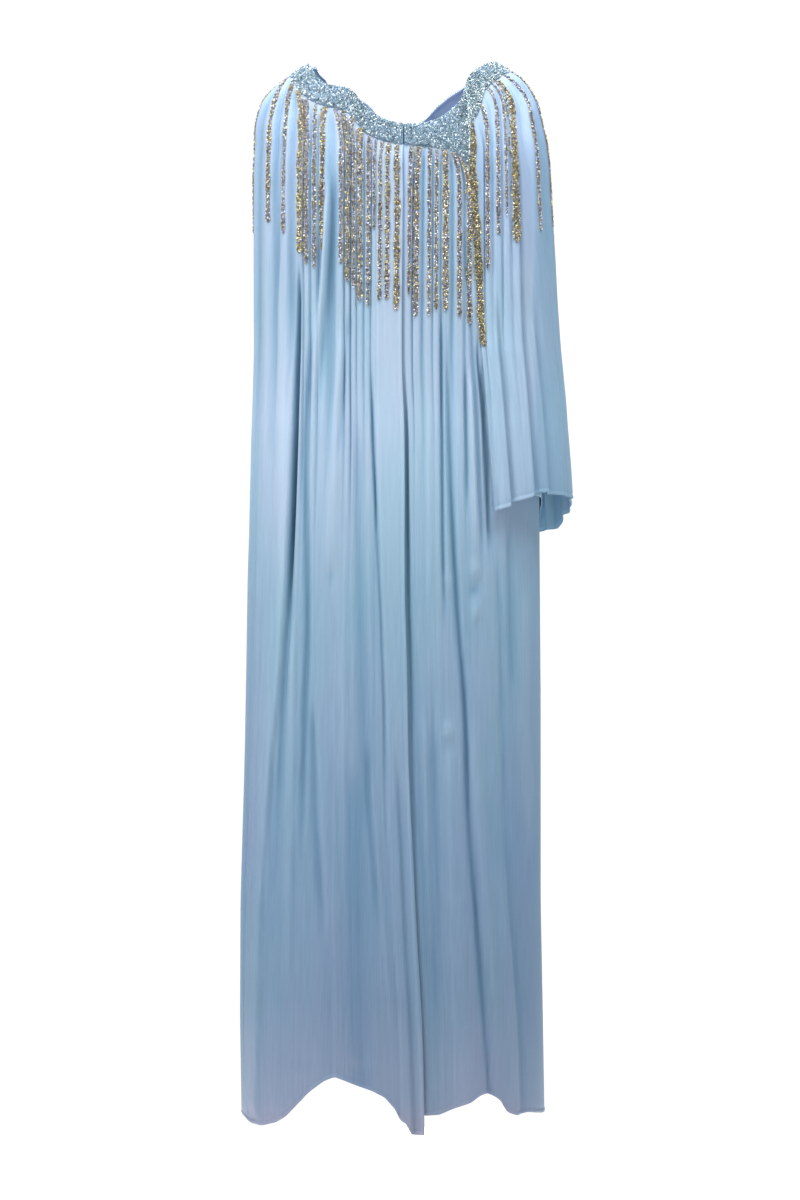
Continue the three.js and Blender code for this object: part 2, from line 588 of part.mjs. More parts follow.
// ---- sleeves ----
function sleeveGrid(sleeve) {
  const { gathers, start, end, seam, swell, spread, cuff, innerAngles, startShift, lift } = sleeve;
  const outer = gatherColumns(gathers, start, end);
  const outerGrid = outer.map((column, index) => {
    const topZ = bandLowZ(column.top);
    const cuffZ = read(cuff, 'angle', column.low, 'z');
    const levels = [
      ...upperLevels.map((share) => topZ + (armholeZ - topZ) * share),
      ...sleeveLevels.map((share) => armholeZ + (cuffZ - armholeZ) * share),
    ];
    return levels.map((z, row) => {
      const free = clamp01((armholeZ - z) / freeLength);
      const slide = startShift * free * (1 - index / (outer.length - 1)) ** 2;
      const isSeam = seam && index === 0;
      const angle = (isSeam ? read(seam, 'z', z, 'angle') : fanned(column, topZ, z)) + slide;
      const share = read(spread, 'angle', column.low, 'share');
      const edgeGap = read(edgeLift, 'z', z, 'gap') * lift;
      const out = edgeGap * (1 - share) + Math.max(edgeGap, read(swell, 'z', z, 'reach')) * share;
      const grown = clamp01((topZ - z) / gatherStart);
      const lower = ease((pleatStartZ - z) / pleatGrowth);
      const depth = gatherDepth * (1 - lower * 0.5) + (column.pleat ?? 0) * pleatDepth * lower;
      const room = out * pleatRoom + (z < armholeZ + yokeDepth ? 0 : clothRoom);
      const relief = -Math.min(depth * column.valley * grown, room);
      const point = relieved(angle, z, relief, row === 0 || (column.edge && row < armholeLevel));
      return point.addScaledVector(formNormal(angle, z, true), out);
    });
  });
  const innerGrid = innerAngles.map((base, index) => {
    const cuffZ = read(cuff, 'angle', base, 'z');
    const levels = [
      ...upperLevels.map(() => armholeZ),
      ...sleeveLevels.map((share) => armholeZ + (cuffZ - armholeZ) * share),
    ];
    return levels.map((z) => {
      const free = clamp01((armholeZ - z) / freeLength);
      const slide = index === innerAngles.length - 1 ? startShift * free : 0;
      const gap = seamGap + (innerSleeveGap - seamGap) * ease((armholeZ - z) / gussetLength);
      return formPoint(base + slide, z).addScaledVector(formNormal(base + slide, z, true), gap);
    });
  });
  const sheet = trimmed(trimmed(seated(outerGrid, outer), ['top']), ['start', 'end'], seamGap);
  return { grid: [...sheet, ...innerGrid], outerCount: outer.length, outer };
}

const sleeveRight = sleeveGrid({
  gathers: gathersSleeveRight, start: raglanFrontRight, end: raglanBackRight,
  seam: raglanSeam, swell: swellRight, spread: spreadRight, cuff: cuffRight, startShift: 5,
  lift: 1,
  innerAngles: [147, 139, 131, 122, 112, 101, 90, 79, 68, 58, 49, 41, 33],
});
const sleeveLeft = sleeveGrid({
  gathers: gathersSleeveLeft, start: raglanBackLeft, end: raglanFrontLeft,
  swell: swellLeft, spread: spreadLeft, cuff: cuffLeft, startShift: 0, lift: 0.6,
  innerAngles: [252, 244, 235, 226, 217, 209, 201],
});

// The sleeve is one sheet above the armhole's bottom and a closed tube below it
function sleeveGeometry({ grid, outerCount }) {
  const isOuter = (column) => column < outerCount - 1;
  const isCell = (column, row) => isOuter(column) || row >= armholeLevel;
  return wall(grid, isCell, -satinWall, 0, true);
}

// ---- neck band: its lower edge turns where the panels' valleys meet it ----
const bandRows = 3;
const anchorAngles = (columns, from, to) => columns
  .filter((column) => isAnchor(column) && column.top >= from && column.top <= to)
  .map((column) => column.top);
function bandGrid(angles, table) {
  return angles.map((lowAngle) => {
    const topAngle = read(table, 'angle', lowAngle, 'topAngle');
    const topZ = read(table, 'angle', lowAngle, 'topZ');
    const lowZ = bandLowZ(lowAngle);
    return Array.from({ length: bandRows + 1 }, (_, row) => {
      const share = row / bandRows;
      const angle = topAngle + (lowAngle - topAngle) * share;
      return relieved(angle, topZ + (lowZ - topZ) * share, 0, true);
    });
  });
}

// ---- rows of sewn beads, rooted in a narrow strip under the band ----
function beadGrid(grid, columns, gathers) {
  return columns.map((column, index) => {
    if (column.bead === undefined) return grid[index].map((point) => point.clone());
    const endZ = gathers[column.bead].beadZ;
    const source = grid[index];
    return source.map((point, row) => {
      if (point.z > endZ || row === 0) return point.clone();
      const above = source[row - 1];
      if (above.z <= endZ) return point.clone();
      return above.clone().lerp(point, (above.z - endZ) / (above.z - point.z));
    });
  });
}
function beadGeometry(grid, columns, gathers) {
  const shifted = trimmed(beadGrid(grid, columns, gathers), ['top'], seamGap);
  const firstBead = columns.findIndex((column) => column.bead !== undefined);
  const lastBead = columns.findLastIndex((column) => column.bead !== undefined);
  const isCell = (index, row) => {
    if (index < firstBead || index >= lastBead) return false;
    if (row === 0) return true;
    const column = columns[index];
    const isRow = column.bead !== undefined && columns[index + 1].bead === column.bead;
    return isRow && grid[index][row].z > gathers[column.bead].beadZ;
  };
  return wall(shifted, isCell, beadStandOff, beadStandOff + beadHeight);
}

// ---- the garment ----
const kaftan = new THREE.Group();
const satin = { color: 0x9fbfd0, roughness: 0.42, metalness: 0 };
const beading = { color: 0xb4c8d2, roughness: 0.22, metalness: 0.35 };
const gold = { color: 0xa38a55, roughness: 0.3, metalness: 0.8 };
function add(name, geometry, finish) {
  const mesh = new THREE.Mesh(geometry, new THREE.MeshStandardMaterial(finish));
  mesh.name = name;
  kaftan.add(mesh);
}

const always = () => true;
function addBand(name, angles, table) {
  const grid = trimmed(bandGrid(angles, table), ['start', 'end', 'low']);
  add(name, wall(grid, always, bandProud - bandWall, bandProud), beading);
}
addBand('neck_band_front_left', anchorAngles(leftColumns, -rightSide, rightSide), bandFront);
addBand('neck_band_front_right', [
  leftEdge.top,
  ...anchorAngles(rightColumns, 0, rightSide),
  ...anchorAngles(sleeveRight.outer, 0, rightSide),
], bandFront);
addBand('neck_band_back', [
  ...anchorAngles(sleeveRight.outer, rightSide, raglanBackRight.top),
  ...anchorAngles(backColumns, 0, turn).slice(1),
  ...anchorAngles(sleeveLeft.outer, 0, turn).slice(1),
  turn - rightSide,
], bandBack);

add('front_left', wall(frontLeftGrid, always, -satinWall, 0), satin);
add('front_right',
  wall(frontRightGrid, (column, row) => column < raglanColumnRight || row >= armholeLevel,
    -satinWall, 0), satin);
const backStart = underBackRight.length;
const backEnd = backColumns.length - underBackLeft.length - 2;
add('back',
  wall(backGrid, (column, row) => (column >= backStart && column < backEnd) || row >= armholeLevel,
    -satinWall, 0), satin);
add('sleeve_right', sleeveGeometry(sleeveRight), satin);
add('sleeve_left', sleeveGeometry(sleeveLeft), satin);

add('bead_rows_front_left', beadGeometry(frontLeftGrid, leftColumns, gathersFrontLeft), gold);
add('bead_rows_front_right', beadGeometry(frontRightGrid, rightColumns, gathersFrontRight), gold);
add('bead_rows_back', beadGeometry(backGrid, backColumns, gathersBack), gold);
add('bead_rows_sleeve_right',
  beadGeometry(sleeveRight.grid, sleeveRight.outer, gathersSleeveRight), gold);
add('bead_rows_sleeve_left',
  beadGeometry(sleeveLeft.grid, sleeveLeft.outer, gathersSleeveLeft), gold);

export default kaftan;
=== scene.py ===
# Long open-front kaftan of gathered silk satin, on a wide beaded neck band
import bpy
import math
import random
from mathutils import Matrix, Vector


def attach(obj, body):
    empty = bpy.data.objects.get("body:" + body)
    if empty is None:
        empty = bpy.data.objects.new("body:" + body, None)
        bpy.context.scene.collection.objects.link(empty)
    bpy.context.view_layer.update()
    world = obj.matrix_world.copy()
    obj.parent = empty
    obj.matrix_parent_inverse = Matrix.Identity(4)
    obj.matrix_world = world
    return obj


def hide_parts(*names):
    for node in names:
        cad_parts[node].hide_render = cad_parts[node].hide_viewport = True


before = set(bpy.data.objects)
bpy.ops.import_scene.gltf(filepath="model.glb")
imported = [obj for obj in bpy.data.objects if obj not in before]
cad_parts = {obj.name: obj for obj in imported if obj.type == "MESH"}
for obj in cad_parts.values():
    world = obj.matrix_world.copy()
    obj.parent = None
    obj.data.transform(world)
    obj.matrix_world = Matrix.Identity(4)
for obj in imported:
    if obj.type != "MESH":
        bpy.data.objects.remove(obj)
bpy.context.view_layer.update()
mm = 0.001          # the tables below are in millimetres

# The garment's form: z, then how far it reaches left, right, front and back
sections = [
    (6, 120, 126, 7, 7), (0, 129, 139, 17, 17), (-7, 141, 151, 28, 27), (-14, 153, 165, 36, 34),
    (-21, 164, 173, 42, 40), (-35, 179, 183, 51, 48), (-49, 192, 189, 58, 55),
    (-63, 197, 190, 64, 60), (-84, 203, 190, 73, 68), (-115, 203, 190, 83, 78),
    (-147, 205, 190, 89, 85), (-250, 205, 190, 98, 94), (-400, 205, 190, 106, 103),
    (-609, 210, 195, 114, 114), (-890, 216, 197, 124, 126), (-1169, 223, 197, 133, 137),
    (-1330, 224, 200, 138, 143), (-1510, 221, 203, 143, 149)]
form = {"ovalPower": 2.3, "fanLength": 65, "armholeZ": -400, "gatherDepth": 4.2,
        "gatherStart": 22, "gatherFullZ": -320, "gatherFadeZ": -640, "gatherFade": 0.9,
        "crown": 0.29, "rowWidth": 9.5, "wall": 0.9, "flange": 3.5, "tuckUp": 2.5, "tuckIn": 2.4}

# Neck band edges from the left shoulder over the front to the right one, then round the back:
# x and z of the top edge, x and z of the lower edge
frontBandEdges = [
    (-128, 1, -153, -14), (-121, -7, -147, -21), (-114, -19, -134, -46), (-106, -29, -122, -55),
    (-90, -32, -104, -62), (-73, -35, -85, -66), (-63, -42, -68, -74), (-52, -58, -56, -92),
    (-38, -71, -44, -104), (-18, -82, -24, -111), (5, -87, 5, -117), (28, -87, 30, -119),
    (53, -80, 53, -121), (70, -68, 70, -124), (83, -54, 83, -132), (90, -38, 96.6, -150),
    (92, -30, 97.3, -90), (95, -17, 109, -72), (105, -8, 115, -42), (116, -1, 127, -28),
    (125, 3, 142, -16), (131, 4, 151, -7)]
backBandEdges = [
    (131, 4, 151, -7), (116, -6, 143, -17), (104, -17, 127, -34), (90, -28, 106, -56),
    (70, -40, 84, -74), (52, -54, 62, -90), (36, -72, 42, -105), (18, -84, 20, -116),
    (-4, -88, -5, -119), (-24, -80, -28, -113), (-38, -58, -50, -96), (-52, -46, -70, -80),
    (-74, -40, -91, -68), (-96, -34, -114, -57), (-104, -18, -132, -41), (-116, -4, -146, -22),
    (-128, 1, -153, -14)]

# Seams, in degrees round the garment from the centre front towards the right
raglanSeam = [(-89, 27.6), (-150, 27.7), (-215, 29.4), (-400, 33)]
bandTip = 27.35
seams = {"raglan": 33, "side": 90, "backRaglan": 147, "leftRaglan": 201, "leftSide": 252}

# Front opening: z, x, then how deep the right front lies beside it, how wide that goes and
# how squarely it rises again
openingLine = [
    (-90, 5, 0, 4, 4), (-250, 3.5, 1, 4, 4), (-347, 2.5, 2, 4, 4), (-430, 2.5, 2.5, 3.5, 4),
    (-469, 4.5, 4, 4, 4), (-511, 6.2, 9, 4.5, 4), (-610, 6.6, 10, 5, 3.5), (-680, 6.7, 9, 6, 2.5),
    (-749, 6.8, 8, 7.5, 1.8), (-819, 9.2, 7, 8, 1.6), (-889, 10.6, 6, 8.5, 1.6),
    (-973, 12, 4.5, 9, 1.6), (-1029, 14, 3, 10, 1.6), (-1099, 18, 1.5, 10, 1.6),
    (-1169, 21.4, 1, 10, 1.6), (-1239, 25, 1, 10, 1.6), (-1309, 29.5, 1, 10, 1.6),
    (-1380, 32.6, 1, 10, 1.6), (-1510, 34.5, 1, 10, 1.6)]

# Folds: depth, width to the left and to the right, then z and x down its line
deepLine = [(-255, -140), (-400, -143), (-560, -148), (-640, -151), (-720, -154.5),
            (-800, -158), (-880, -163), (-960, -167), (-1100, -172), (-1240, -176)]
frontFolds = [
    (-9, 2, 4, deepLine[:6]), (-4, 2.5, 6, deepLine),
    (-4, 3, 4, [(-45, -158), (-100, -164), (-200, -168), (-280, -170), (-350, -171)]),
    (-5, 2.5, 3, [(-90, -106), (-200, -110), (-300, -112), (-360, -114)]),
    (4.5, 4, 5, [(-150, -98), (-220, -102), (-300, -108), (-400, -116), (-520, -122)]),
    (-5, 5, 9, [(-140, -91), (-220, -94), (-300, -99), (-400, -107), (-500, -112)]),
    (6, 13, 3.5, [(-320, -147), (-480, -151.5), (-640, -157), (-720, -160), (-800, -164.5),
                  (-900, -173), (-1040, -186), (-1200, -195), (-1460, -200)]),
    (-6, 4, 5, [(-350, -119), (-400, -125), (-480, -130), (-560, -133), (-640, -131),
                (-720, -129.5), (-800, -129), (-900, -133), (-1000, -135), (-1180, -138)]),
    (5, 7, 4, [(-760, -146), (-900, -148), (-1100, -151), (-1300, -156)]),
    (-4, 6, 3, [(-880, -121), (-1040, -117), (-1120, -112), (-1230, -104)]),
    (3, 4, 10, [(-960, -110), (-1120, -103), (-1260, -95)]),
    (-3.5, 3, 5, [(-345, -71), (-400, -75), (-480, -81), (-580, -86)]),
    (3, 5, 9, [(-360, -79), (-440, -86), (-520, -92), (-600, -96), (-760, -99)]),
    (-4, 7, 9, [(-470, -60), (-640, -57), (-800, -53), (-960, -48), (-1150, -44)]),
    (-4, 18, 14, [(-960, -66), (-1150, -60), (-1470, -50)]),
    (3, 4, 4, [(-960, -42), (-1040, -36), (-1120, -29), (-1200, -22), (-1290, -15), (-1380, -8)]),
    (-3, 4, 6, [(-940, -47), (-1040, -42), (-1120, -35), (-1220, -28)]),
    (-5, 3, 3, [(-330, 57), (-400, 58), (-480, 57), (-560, 58), (-680, 59), (-760, 62),
                (-830, 67)]),
    (-6.5, 5, 3.5, [(-320, 64), (-400, 66), (-480, 68), (-560, 70), (-640, 73), (-720, 78),
                  (-800, 83), (-880, 90), (-960, 93), (-1040, 95), (-1120, 101), (-1200, 108),
                  (-1280, 114), (-1360, 120), (-1460, 127)]),
    (5, 4, 9, [(-900, 101), (-1000, 104), (-1080, 110), (-1160, 118), (-1240, 124),
               (-1320, 131), (-1420, 138)]),
    (-3, 8, 8, [(-900, 48), (-1040, 52), (-1150, 53), (-1300, 51), (-1400, 50)]),
    (4, 14, 14, [(-880, 72), (-1040, 73), (-1200, 78), (-1340, 84), (-1460, 88)]),
    (3, 4, 5, [(-900, 33), (-1040, 36), (-1150, 38)]),
    (-4, 3, 4, [(-230, 90), (-320, 95), (-400, 101), (-440, 103), (-520, 107), (-600, 110),
                (-660, 113), (-760, 116)]),
    (3, 4, 3, [(-420, 97), (-520, 101), (-600, 104), (-700, 107)]),
    (-3, 3, 4, [(-420, 90), (-520, 92), (-600, 93), (-640, 94)]),
    (-8, 3, 4, [(-380, 107), (-430, 112), (-500, 118), (-581, 122), (-650, 124), (-720, 127)]),
    (-2.6, 2.5, 4, [(-590, 129), (-640, 131), (-720, 136), (-800, 138.5), (-880, 140.5),
                (-960, 143), (-1040, 144.5), (-1120, 147), (-1200, 154), (-1280, 161),
                (-1360, 167), (-1480, 169.5)]),
    (4, 10, 4, [(-1080, 139), (-1200, 146), (-1280, 152), (-1360, 158), (-1480, 161)]),
    (-3, 4, 5, [(-630, 150), (-760, 153), (-900, 156)]),
    (3, 9, 9, [(-700, 172), (-900, 170), (-1050, 176), (-1150, 178)])]
backFolds = [
    (-10, 14, 5, [(-400, 92), (-900, 96), (-1460, 110)]),
    (-7, 4, 11, [(-420, 66), (-950, 58), (-1480, 52)]),
    (-8, 4, 12, [(-350, 30), (-825, 34), (-1300, 42)]),
    (5, 13, 8, [(-500, 6), (-1000, 2), (-1500, -6)]),
    (-10, 4.5, 14, [(-330, -22), (-900, -30), (-1460, -44)]),
    (-7, 11, 4, [(-520, -60), (-1010, -70), (-1500, -78)]),
    (-9, 15, 5, [(-680, -110), (-1090, -118), (-1500, -126)]),
    (-8, 5, 14, [(-720, -160), (-1110, -166), (-1500, -172)]),
    (-9, 5, 13, [(-700, 144), (-1100, 150), (-1500, 156)])]
# Creases of the lapped strip: one along its left edge, then a ridge and a valley low down
placketCrease = [
    (-6, 2.2, 2.6, [(-400, -41), (-520, -38), (-600, -34), (-660, -31), (-760, -27), (-880, -22),
                    (-1000, -20), (-1120, -15)]),
    (4.5, 3, 4, [(-960, 10), (-1085, 13), (-1200, 18), (-1290, 23), (-1400, 28), (-1500, 31)]),
    (-5, 3, 5, [(-940, -6), (-1085, 2), (-1200, 7), (-1300, 13), (-1400, 18), (-1500, 21)])]
# Small buckles in the hanging satin: x, z, width, height, depth
frontBuckles = [
    (105, -707, 7, 7, 4.2), (106, -767, 6, 8, 4), (103, -736, 7, 8, -3), (66, -721, 7, 9, 2),
    (66, -931, 7, 5, 3.8), (68, -952, 8, 6, -2.4), (-95, -717, 7, 12, -1.8), (63, -990, 8, 5, 3.4),
    (77, -1162, 16, 6, 1.5), (94, -1340, 20, 5, 1.8), (14, -1099, 4, 12, 1.4),
    (-63, -1389, 16, 6, 1.8), (-137, -1393, 14, 6, -1.6), (-200, -1243, 7, 16, 1.4),
    (-17, -907, 6, 14, 1.6), (-19, -560, 7, 8, -1.3), (112, -1010, 8, 18, 1.4),
    (40, -1240, 9, 15, -1.3), (-88, -1180, 10, 24, 1.2), (-20, -830, 6, 10, 1.2)]
backBuckles = [
    (84, -690, 9, 12, 1.5), (-52, -760, 9, 14, 1.4), (20, -980, 12, 9, 1.4),
    (-110, -1120, 14, 8, 1.2), (120, -1290, 14, 8, 1.2), (-30, -1330, 16, 7, 1.1)]

# Height of the hem: x, z
frontHem = [
    (-225, -1463), (-210, -1476), (-193, -1479), (-172, -1473), (-158, -1464), (-143, -1448),
    (-126, -1430), (-105, -1414), (-90, -1408), (-74, -1414), (-56, -1421), (-38, -1427),
    (-20, -1436), (-9, -1449), (-4, -1454), (-1, -1466), (11, -1473), (14, -1487), (36, -1488)]
frontRightHem = [
    (0, -1452), (38, -1461), (57, -1460), (77, -1451), (98, -1444), (112, -1434), (124, -1431),
    (140, -1442), (147, -1458), (161, -1464), (177, -1460), (210, -1466)]
backHem = [
    (-225, -1463), (-190, -1449), (-150, -1432), (-125, -1414), (-92, -1398), (-60, -1410),
    (-30, -1430), (-5, -1452), (42, -1440), (74, -1431), (110, -1446), (155, -1440), (210, -1466)]

# Gathers, each with its row of beads: angle on the band, angle below the fan, where the
# row ends, its width and how golden it is; above 1 it also darkens the row's beads, painted
# shade for the rows in the shadow by the raglan seam and on the sleeve
frontLeft = {
    "start": (-110, -108), "end": (0.87, 0.4), "seed": 11, "flat": (0.38, 1.45), "area": 0.5,
    "gathers": [
        (-98, -87, -236, 6, 0.8), (-82, -62, -224, 8, 0.6), (-62, -50, -240, 8, 0.3),
        (-50.5, -39.6, -268, 12, 0.95), (-39.5, -36.5, -282, 8, 0.3), (-34, -32.5, -289, 7, 0.35),
        (-28.5, -29, -263, 10, 0.65), (-24.5, -20.5, -284, 7, 0.3), (-20.8, -17.8, -308, 9, 0.7),
        (-17, -15.4, -317, 6, 0.3), (-13, -13, -334, 9, 0.6), (-9.4, -10, -341, 7, 0.35),
        (-7, -8, -236, 5, 0.3), (-4.8, -6, -334, 6.5, 0.35), (-2.9, -3.6, -334, 7.5, 0.5),
        (-0.7, -0.9, -348, 9, 0.75)]}
frontRight = {
    "start": (1.75, 1.75), "end": (bandTip, 33), "seed": 12, "flat": (0.29, 1.37), "area": 0.34,
    "gathers": [
        (3.5, 3, -326, 6, 0.3), (6.6, 5.2, -356, 10, 0.45), (10, 10, -355, 6, 0.3),
        (12.8, 12.8, -346, 6.5, 0.35), (16.2, 16.6, -348, 10, 0.6), (19.6, 22.6, -356, 7.5, 0.4),
        (22.4, 27.6, -366, 8, 0.55)]}
backPanel = {
    "start": (146, 147), "end": (201.5, 201), "seed": 13, "flat": (0.55, 1.36), "area": 0.62,
    "gathers": [
        (149, 151, -352, 9, 0.8), (153.4, 155.2, -330, 7, 0.4), (157.4, 159, -344, 8, 0.35),
        (161.2, 162.8, -318, 6.5, 0.6), (165, 166.2, -336, 9, 0.3), (168.8, 169.4, -350, 7, 0.7),
        (172.4, 172.6, -262, 6, 0.35), (176, 176, -341, 8, 0.4), (179.8, 179.2, -333, 9, 0.75),
        (183.4, 182.6, -347, 7, 0.3), (187, 186, -322, 8, 0.4), (190.8, 189.6, -338, 7, 0.65),
        (194.6, 193.4, -312, 8, 0.3), (198.2, 197.4, -349, 9.5, 0.85)]}
sleeveRight = {
    "start": (27.6, 33), "end": (146, 147), "seed": 14, "flat": (0.5, 0.66), "area": 0.27,
    "startShift": 5, "lift": 1,
    "gathers": [
        (29, 33.9, -397, 13, 1.35), (33.5, 36.6, -290, 7, 0.35), (39.5, 42.3, -243, 6.5, 0.25),
        (43.5, 46.8, -214, 5, 0.25), (48, 52, -252, 13, 1.3), (58, 68, -236, 7, 0.3),
        (80, 84, -228, 7, 0.6), (100, 97, -262, 9, 0.4), (119, 110, -244, 7, 0.75),
        (132, 124, -300, 8, 0.35),
        (140, 137, -330, 9.5, 0.8)],
    "creases": [(41.3, 1, -290, 3), (53.8, 1.5, -60, 1.5), (61.3, 0.8, -270, 3),
                (76, 0.5, -290, 3), (88, 0.6, -330, 3), (101, 0.8, -250, 3), (114, 1, -290, 3),
                (128, 0.7, -200, 3)],
    "swell": [(10, 0), (-42, 0), (-63, 6), (-84, 10), (-105, 16), (-133, 20), (-189, 23),
              (-245, 27), (-329, 32), (-385, 36), (-469, 42), (-581, 47), (-670, 49)],
    "spread": [(33, 0), (42, 0.25), (55, 0.6), (70, 0.9), (90, 1), (108, 0.92), (125, 0.6),
               (138, 0.22), (147, 0)],
    "cuff": [(33, -626), (40.8, -619), (41.8, -614), (52.3, -606), (53.3, -601), (60.8, -599),
             (61.8, -602), (76, -604), (88, -608), (98, -622), (110, -648), (125, -655),
             (147, -652)],
    "inner": (147, 33)}
sleeveLeft = {
    "start": (201.5, 201), "end": (250, 252), "seed": 15, "flat": (0.32, 0.64), "area": 0.142,
    "startShift": 0, "lift": 0.6,
    "gathers": [
        (207, 207, -368, 9.5, 0.85), (214, 215, -286, 8, 0.4), (221, 223, -240, 7, 0.35),
        (229, 232, -252, 9, 0.7), (236, 239, -236, 7, 0.35), (244, 246, -244, 8, 0.5)],
    "creases": [(212, 0.8, -290, 3), (225, 1, -230, 3), (239, 0.8, -300, 3)],
    "swell": [(10, 0), (-60, 0), (-100, 10), (-189, 28), (-329, 42), (-469, 50), (-670, 56)],
    "spread": [(201, 0), (210, 0.45), (222, 0.95), (230, 1), (238, 0.55), (244, 0.15),
               (252, 0)],
    "cuff": [(201, -650), (212, -646), (225, -634), (238, -622), (252, -612)],
    "inner": (252, 201)}
sleeveShape = {"slideOver": 225, "room": 0.42, "upperRoom": 4.5, "thinsFrom": -260,
               "thinsOver": 300, "thinsTo": 0.85, "innerGap": 0.3, "innerEase": 2.7,
               "creaseReach": 9, "creaseEase": 150, "proud": 2.4, "dropped": -6.5}
# How far the free edges of a sleeve stand off the body: z, gap
edgeLift = [(-300, 0), (-350, 0.8), (-385, 3), (-400, 5.6), (-450, 9), (-660, 12)]
lap = {"width": 30, "lift": 2.1, "underDepth": 2.2, "groove": 4, "followSpan": 26,
       "ridge": 0.7, "ridgeAt": 34, "ridgeReach": 9, "ridgeSlope": 8, "edgeRoll": 0.7,
       "ramp": 10, "rampTightens": 6, "rampFromZ": -430, "rampOver": 120}
stripWidth = [(-400, 42), (-660, 41), (-880, 36), (-1120, 34.5), (-1500, 33)]   # z, width


# The value of a table at some height or place, straight between its rows
def read(table, at, column=1):
    rising = table[-1][0] > table[0][0]
    for upper, row in enumerate(table):
        if (row[0] >= at) if rising else (row[0] <= at):
            break
    else:
        return table[-1][column]
    if upper == 0:
        return table[0][column]
    a, b = table[upper - 1], table[upper]
    return a[column] + (b[column] - a[column]) * (at - a[0]) / (b[0] - a[0])


def softRead(table, at, reach, column=1):
    return sum(read(table, at + reach * step, column) for step in (-1, -0.5, 0, 0.5, 1)) / 5


def clamp01(value):
    return min(1, max(0, value))


def ease(value):
    value = clamp01(value)
    return value * value * (3 - 2 * value)


def signedPower(value, power):
    return math.copysign(abs(value) ** power, value)


# The sections once a millimetre, softened where they turn
profile = [[softRead(sections, z, min(14, 1 + abs(z) * 0.12), column) for column in (1, 2, 3, 4)]
           for z in range(6, -1530, -1)]


def sectionAt(z):
    place = min(max(6 - z, 0), len(profile) - 1.001)
    step = int(place)
    share = place - step
    return [a + (b - a) * share for a, b in zip(profile[step], profile[step + 1])]


def formPoint(angle, z):
    turned = math.radians(angle)
    across, along = math.sin(turned), math.cos(turned)
    left, right, front, back = sectionAt(z)
    return Vector(((left if across < 0 else right) * signedPower(across, 2 / form["ovalPower"]),
                   -(front if along > 0 else back) * signedPower(along, 2 / form["ovalPower"]), z))


def formNormal(angle, z, level=False):
    across = formPoint(angle + 0.5, z) - formPoint(angle - 0.5, z)
    down = formPoint(angle, z - 6) - formPoint(angle, z + 6)
    normal = down.cross(across)
    if level:
        normal.z = 0
    return normal.normalized()


def angleAt(x, z, onBack=False):
    left, right = sectionAt(z)[:2]
    share = min(1, abs(x) / (left if x < 0 else right)) ** (form["ovalPower"] / 2)
    degrees = math.degrees(math.asin(share))
    if onBack:
        return 180 + degrees if x < 0 else 180 - degrees
    return -degrees if x < 0 else degrees


def bandTable(edges, onBack):
    return [(angleAt(lowX, lowZ, onBack), lowZ, angleAt(topX, topZ, onBack), topZ)
            for topX, topZ, lowX, lowZ in edges]


bandFront = bandTable(frontBandEdges, False)
bandBack = bandTable(backBandEdges, True)


def bandAt(angle, column):
    wrapped = angle + 360 if angle < -90 else angle
    table = bandBack if wrapped > 90 else bandFront
    reach = min(1.6, abs(wrapped - 27.5) * 0.9, abs(wrapped - 90) * 0.9)
    return softRead(table, wrapped, reach, column)


# A panel's seams and gathers: their place on the band and their degrees on the form
def knots(panel):
    return [panel["start"], *[gather[:2] for gather in panel["gathers"]], panel["end"]]


def knotLows(panel):
    return [knot[1] for knot in knots(panel)]


def interval(panel, low):
    line = knots(panel)
    for index in range(len(line) - 1):
        if low <= line[index + 1][1] or index == len(line) - 2:
            a, b = line[index], line[index + 1]
            return index, a, b, (low - a[1]) / (b[1] - a[1])


def topOf(panel, low):
    index, a, b, share = interval(panel, low)
    return a[0] + (b[0] - a[0]) * share


# Threads fan out from the band over the chest, and the raglan seam has a line of its own
def fannedAngle(panel, low, z, topZ):
    index, a, b, share = interval(panel, low)
    spread = 1 - (1 - clamp01((topZ - z) / form["fanLength"])) ** 3
    atA, atB = (k[0] + (k[1] - k[0]) * spread for k in (a, b))
    if b[1] == seams["raglan"] and panel is frontRight:
        atB = read(raglanSeam, z)
    if a[1] == seams["raglan"] and panel is sleeveRight:
        atA = read(raglanSeam, z)
    return atA + (atB - atA) * share


# 0 on a gather's crown and 1 in the valley to the next one
def valley(panel, low):
    index, a, b, share = interval(panel, low)
    if index == 0 or index == len(panel["gathers"]):
        return 0, index
    apart = (formPoint(a[1], -200) - formPoint(b[1], -200)).length
    crown = 0.8 * min(form["crown"], form["rowWidth"] / 2 / apart)
    return ease((min(share, 1 - share) - crown) / (0.5 - crown)), index


ripple = {"spacing": 1.5, "topZ": (-60, -900), "length": (220, 800), "drift": (-1.6, 1.6),
          "depth": (0.5, 1.4), "width": (2.2, 6), "reach": 8, "fullness": 0.6}


def makeWander(panel):
    dice = random.Random(panel["seed"])
    count = len(panel["gathers"]) + 1
    panel["depths"] = [dice.uniform(0.7, 1.25) for _ in range(count)]
    panel["fades"] = [dice.uniform(-260, 120) for _ in range(count)]
    lowFirst, lowLast = panel["start"][1], panel["end"][1]
    panel["ripples"] = []
    for _ in range(int(abs(lowLast - lowFirst) / ripple["spacing"])):
        topZ = dice.uniform(*ripple["topZ"])
        panel["ripples"].append((
            dice.uniform(lowFirst, lowLast), topZ, topZ - dice.uniform(*ripple["length"]),
            dice.uniform(*ripple["drift"]),
            dice.choice((-1, -1, 1)) * dice.uniform(*ripple["depth"]),
            dice.uniform(*ripple["width"])))


for panel in (frontLeft, frontRight, backPanel, sleeveRight, sleeveLeft):
    makeWander(panel)


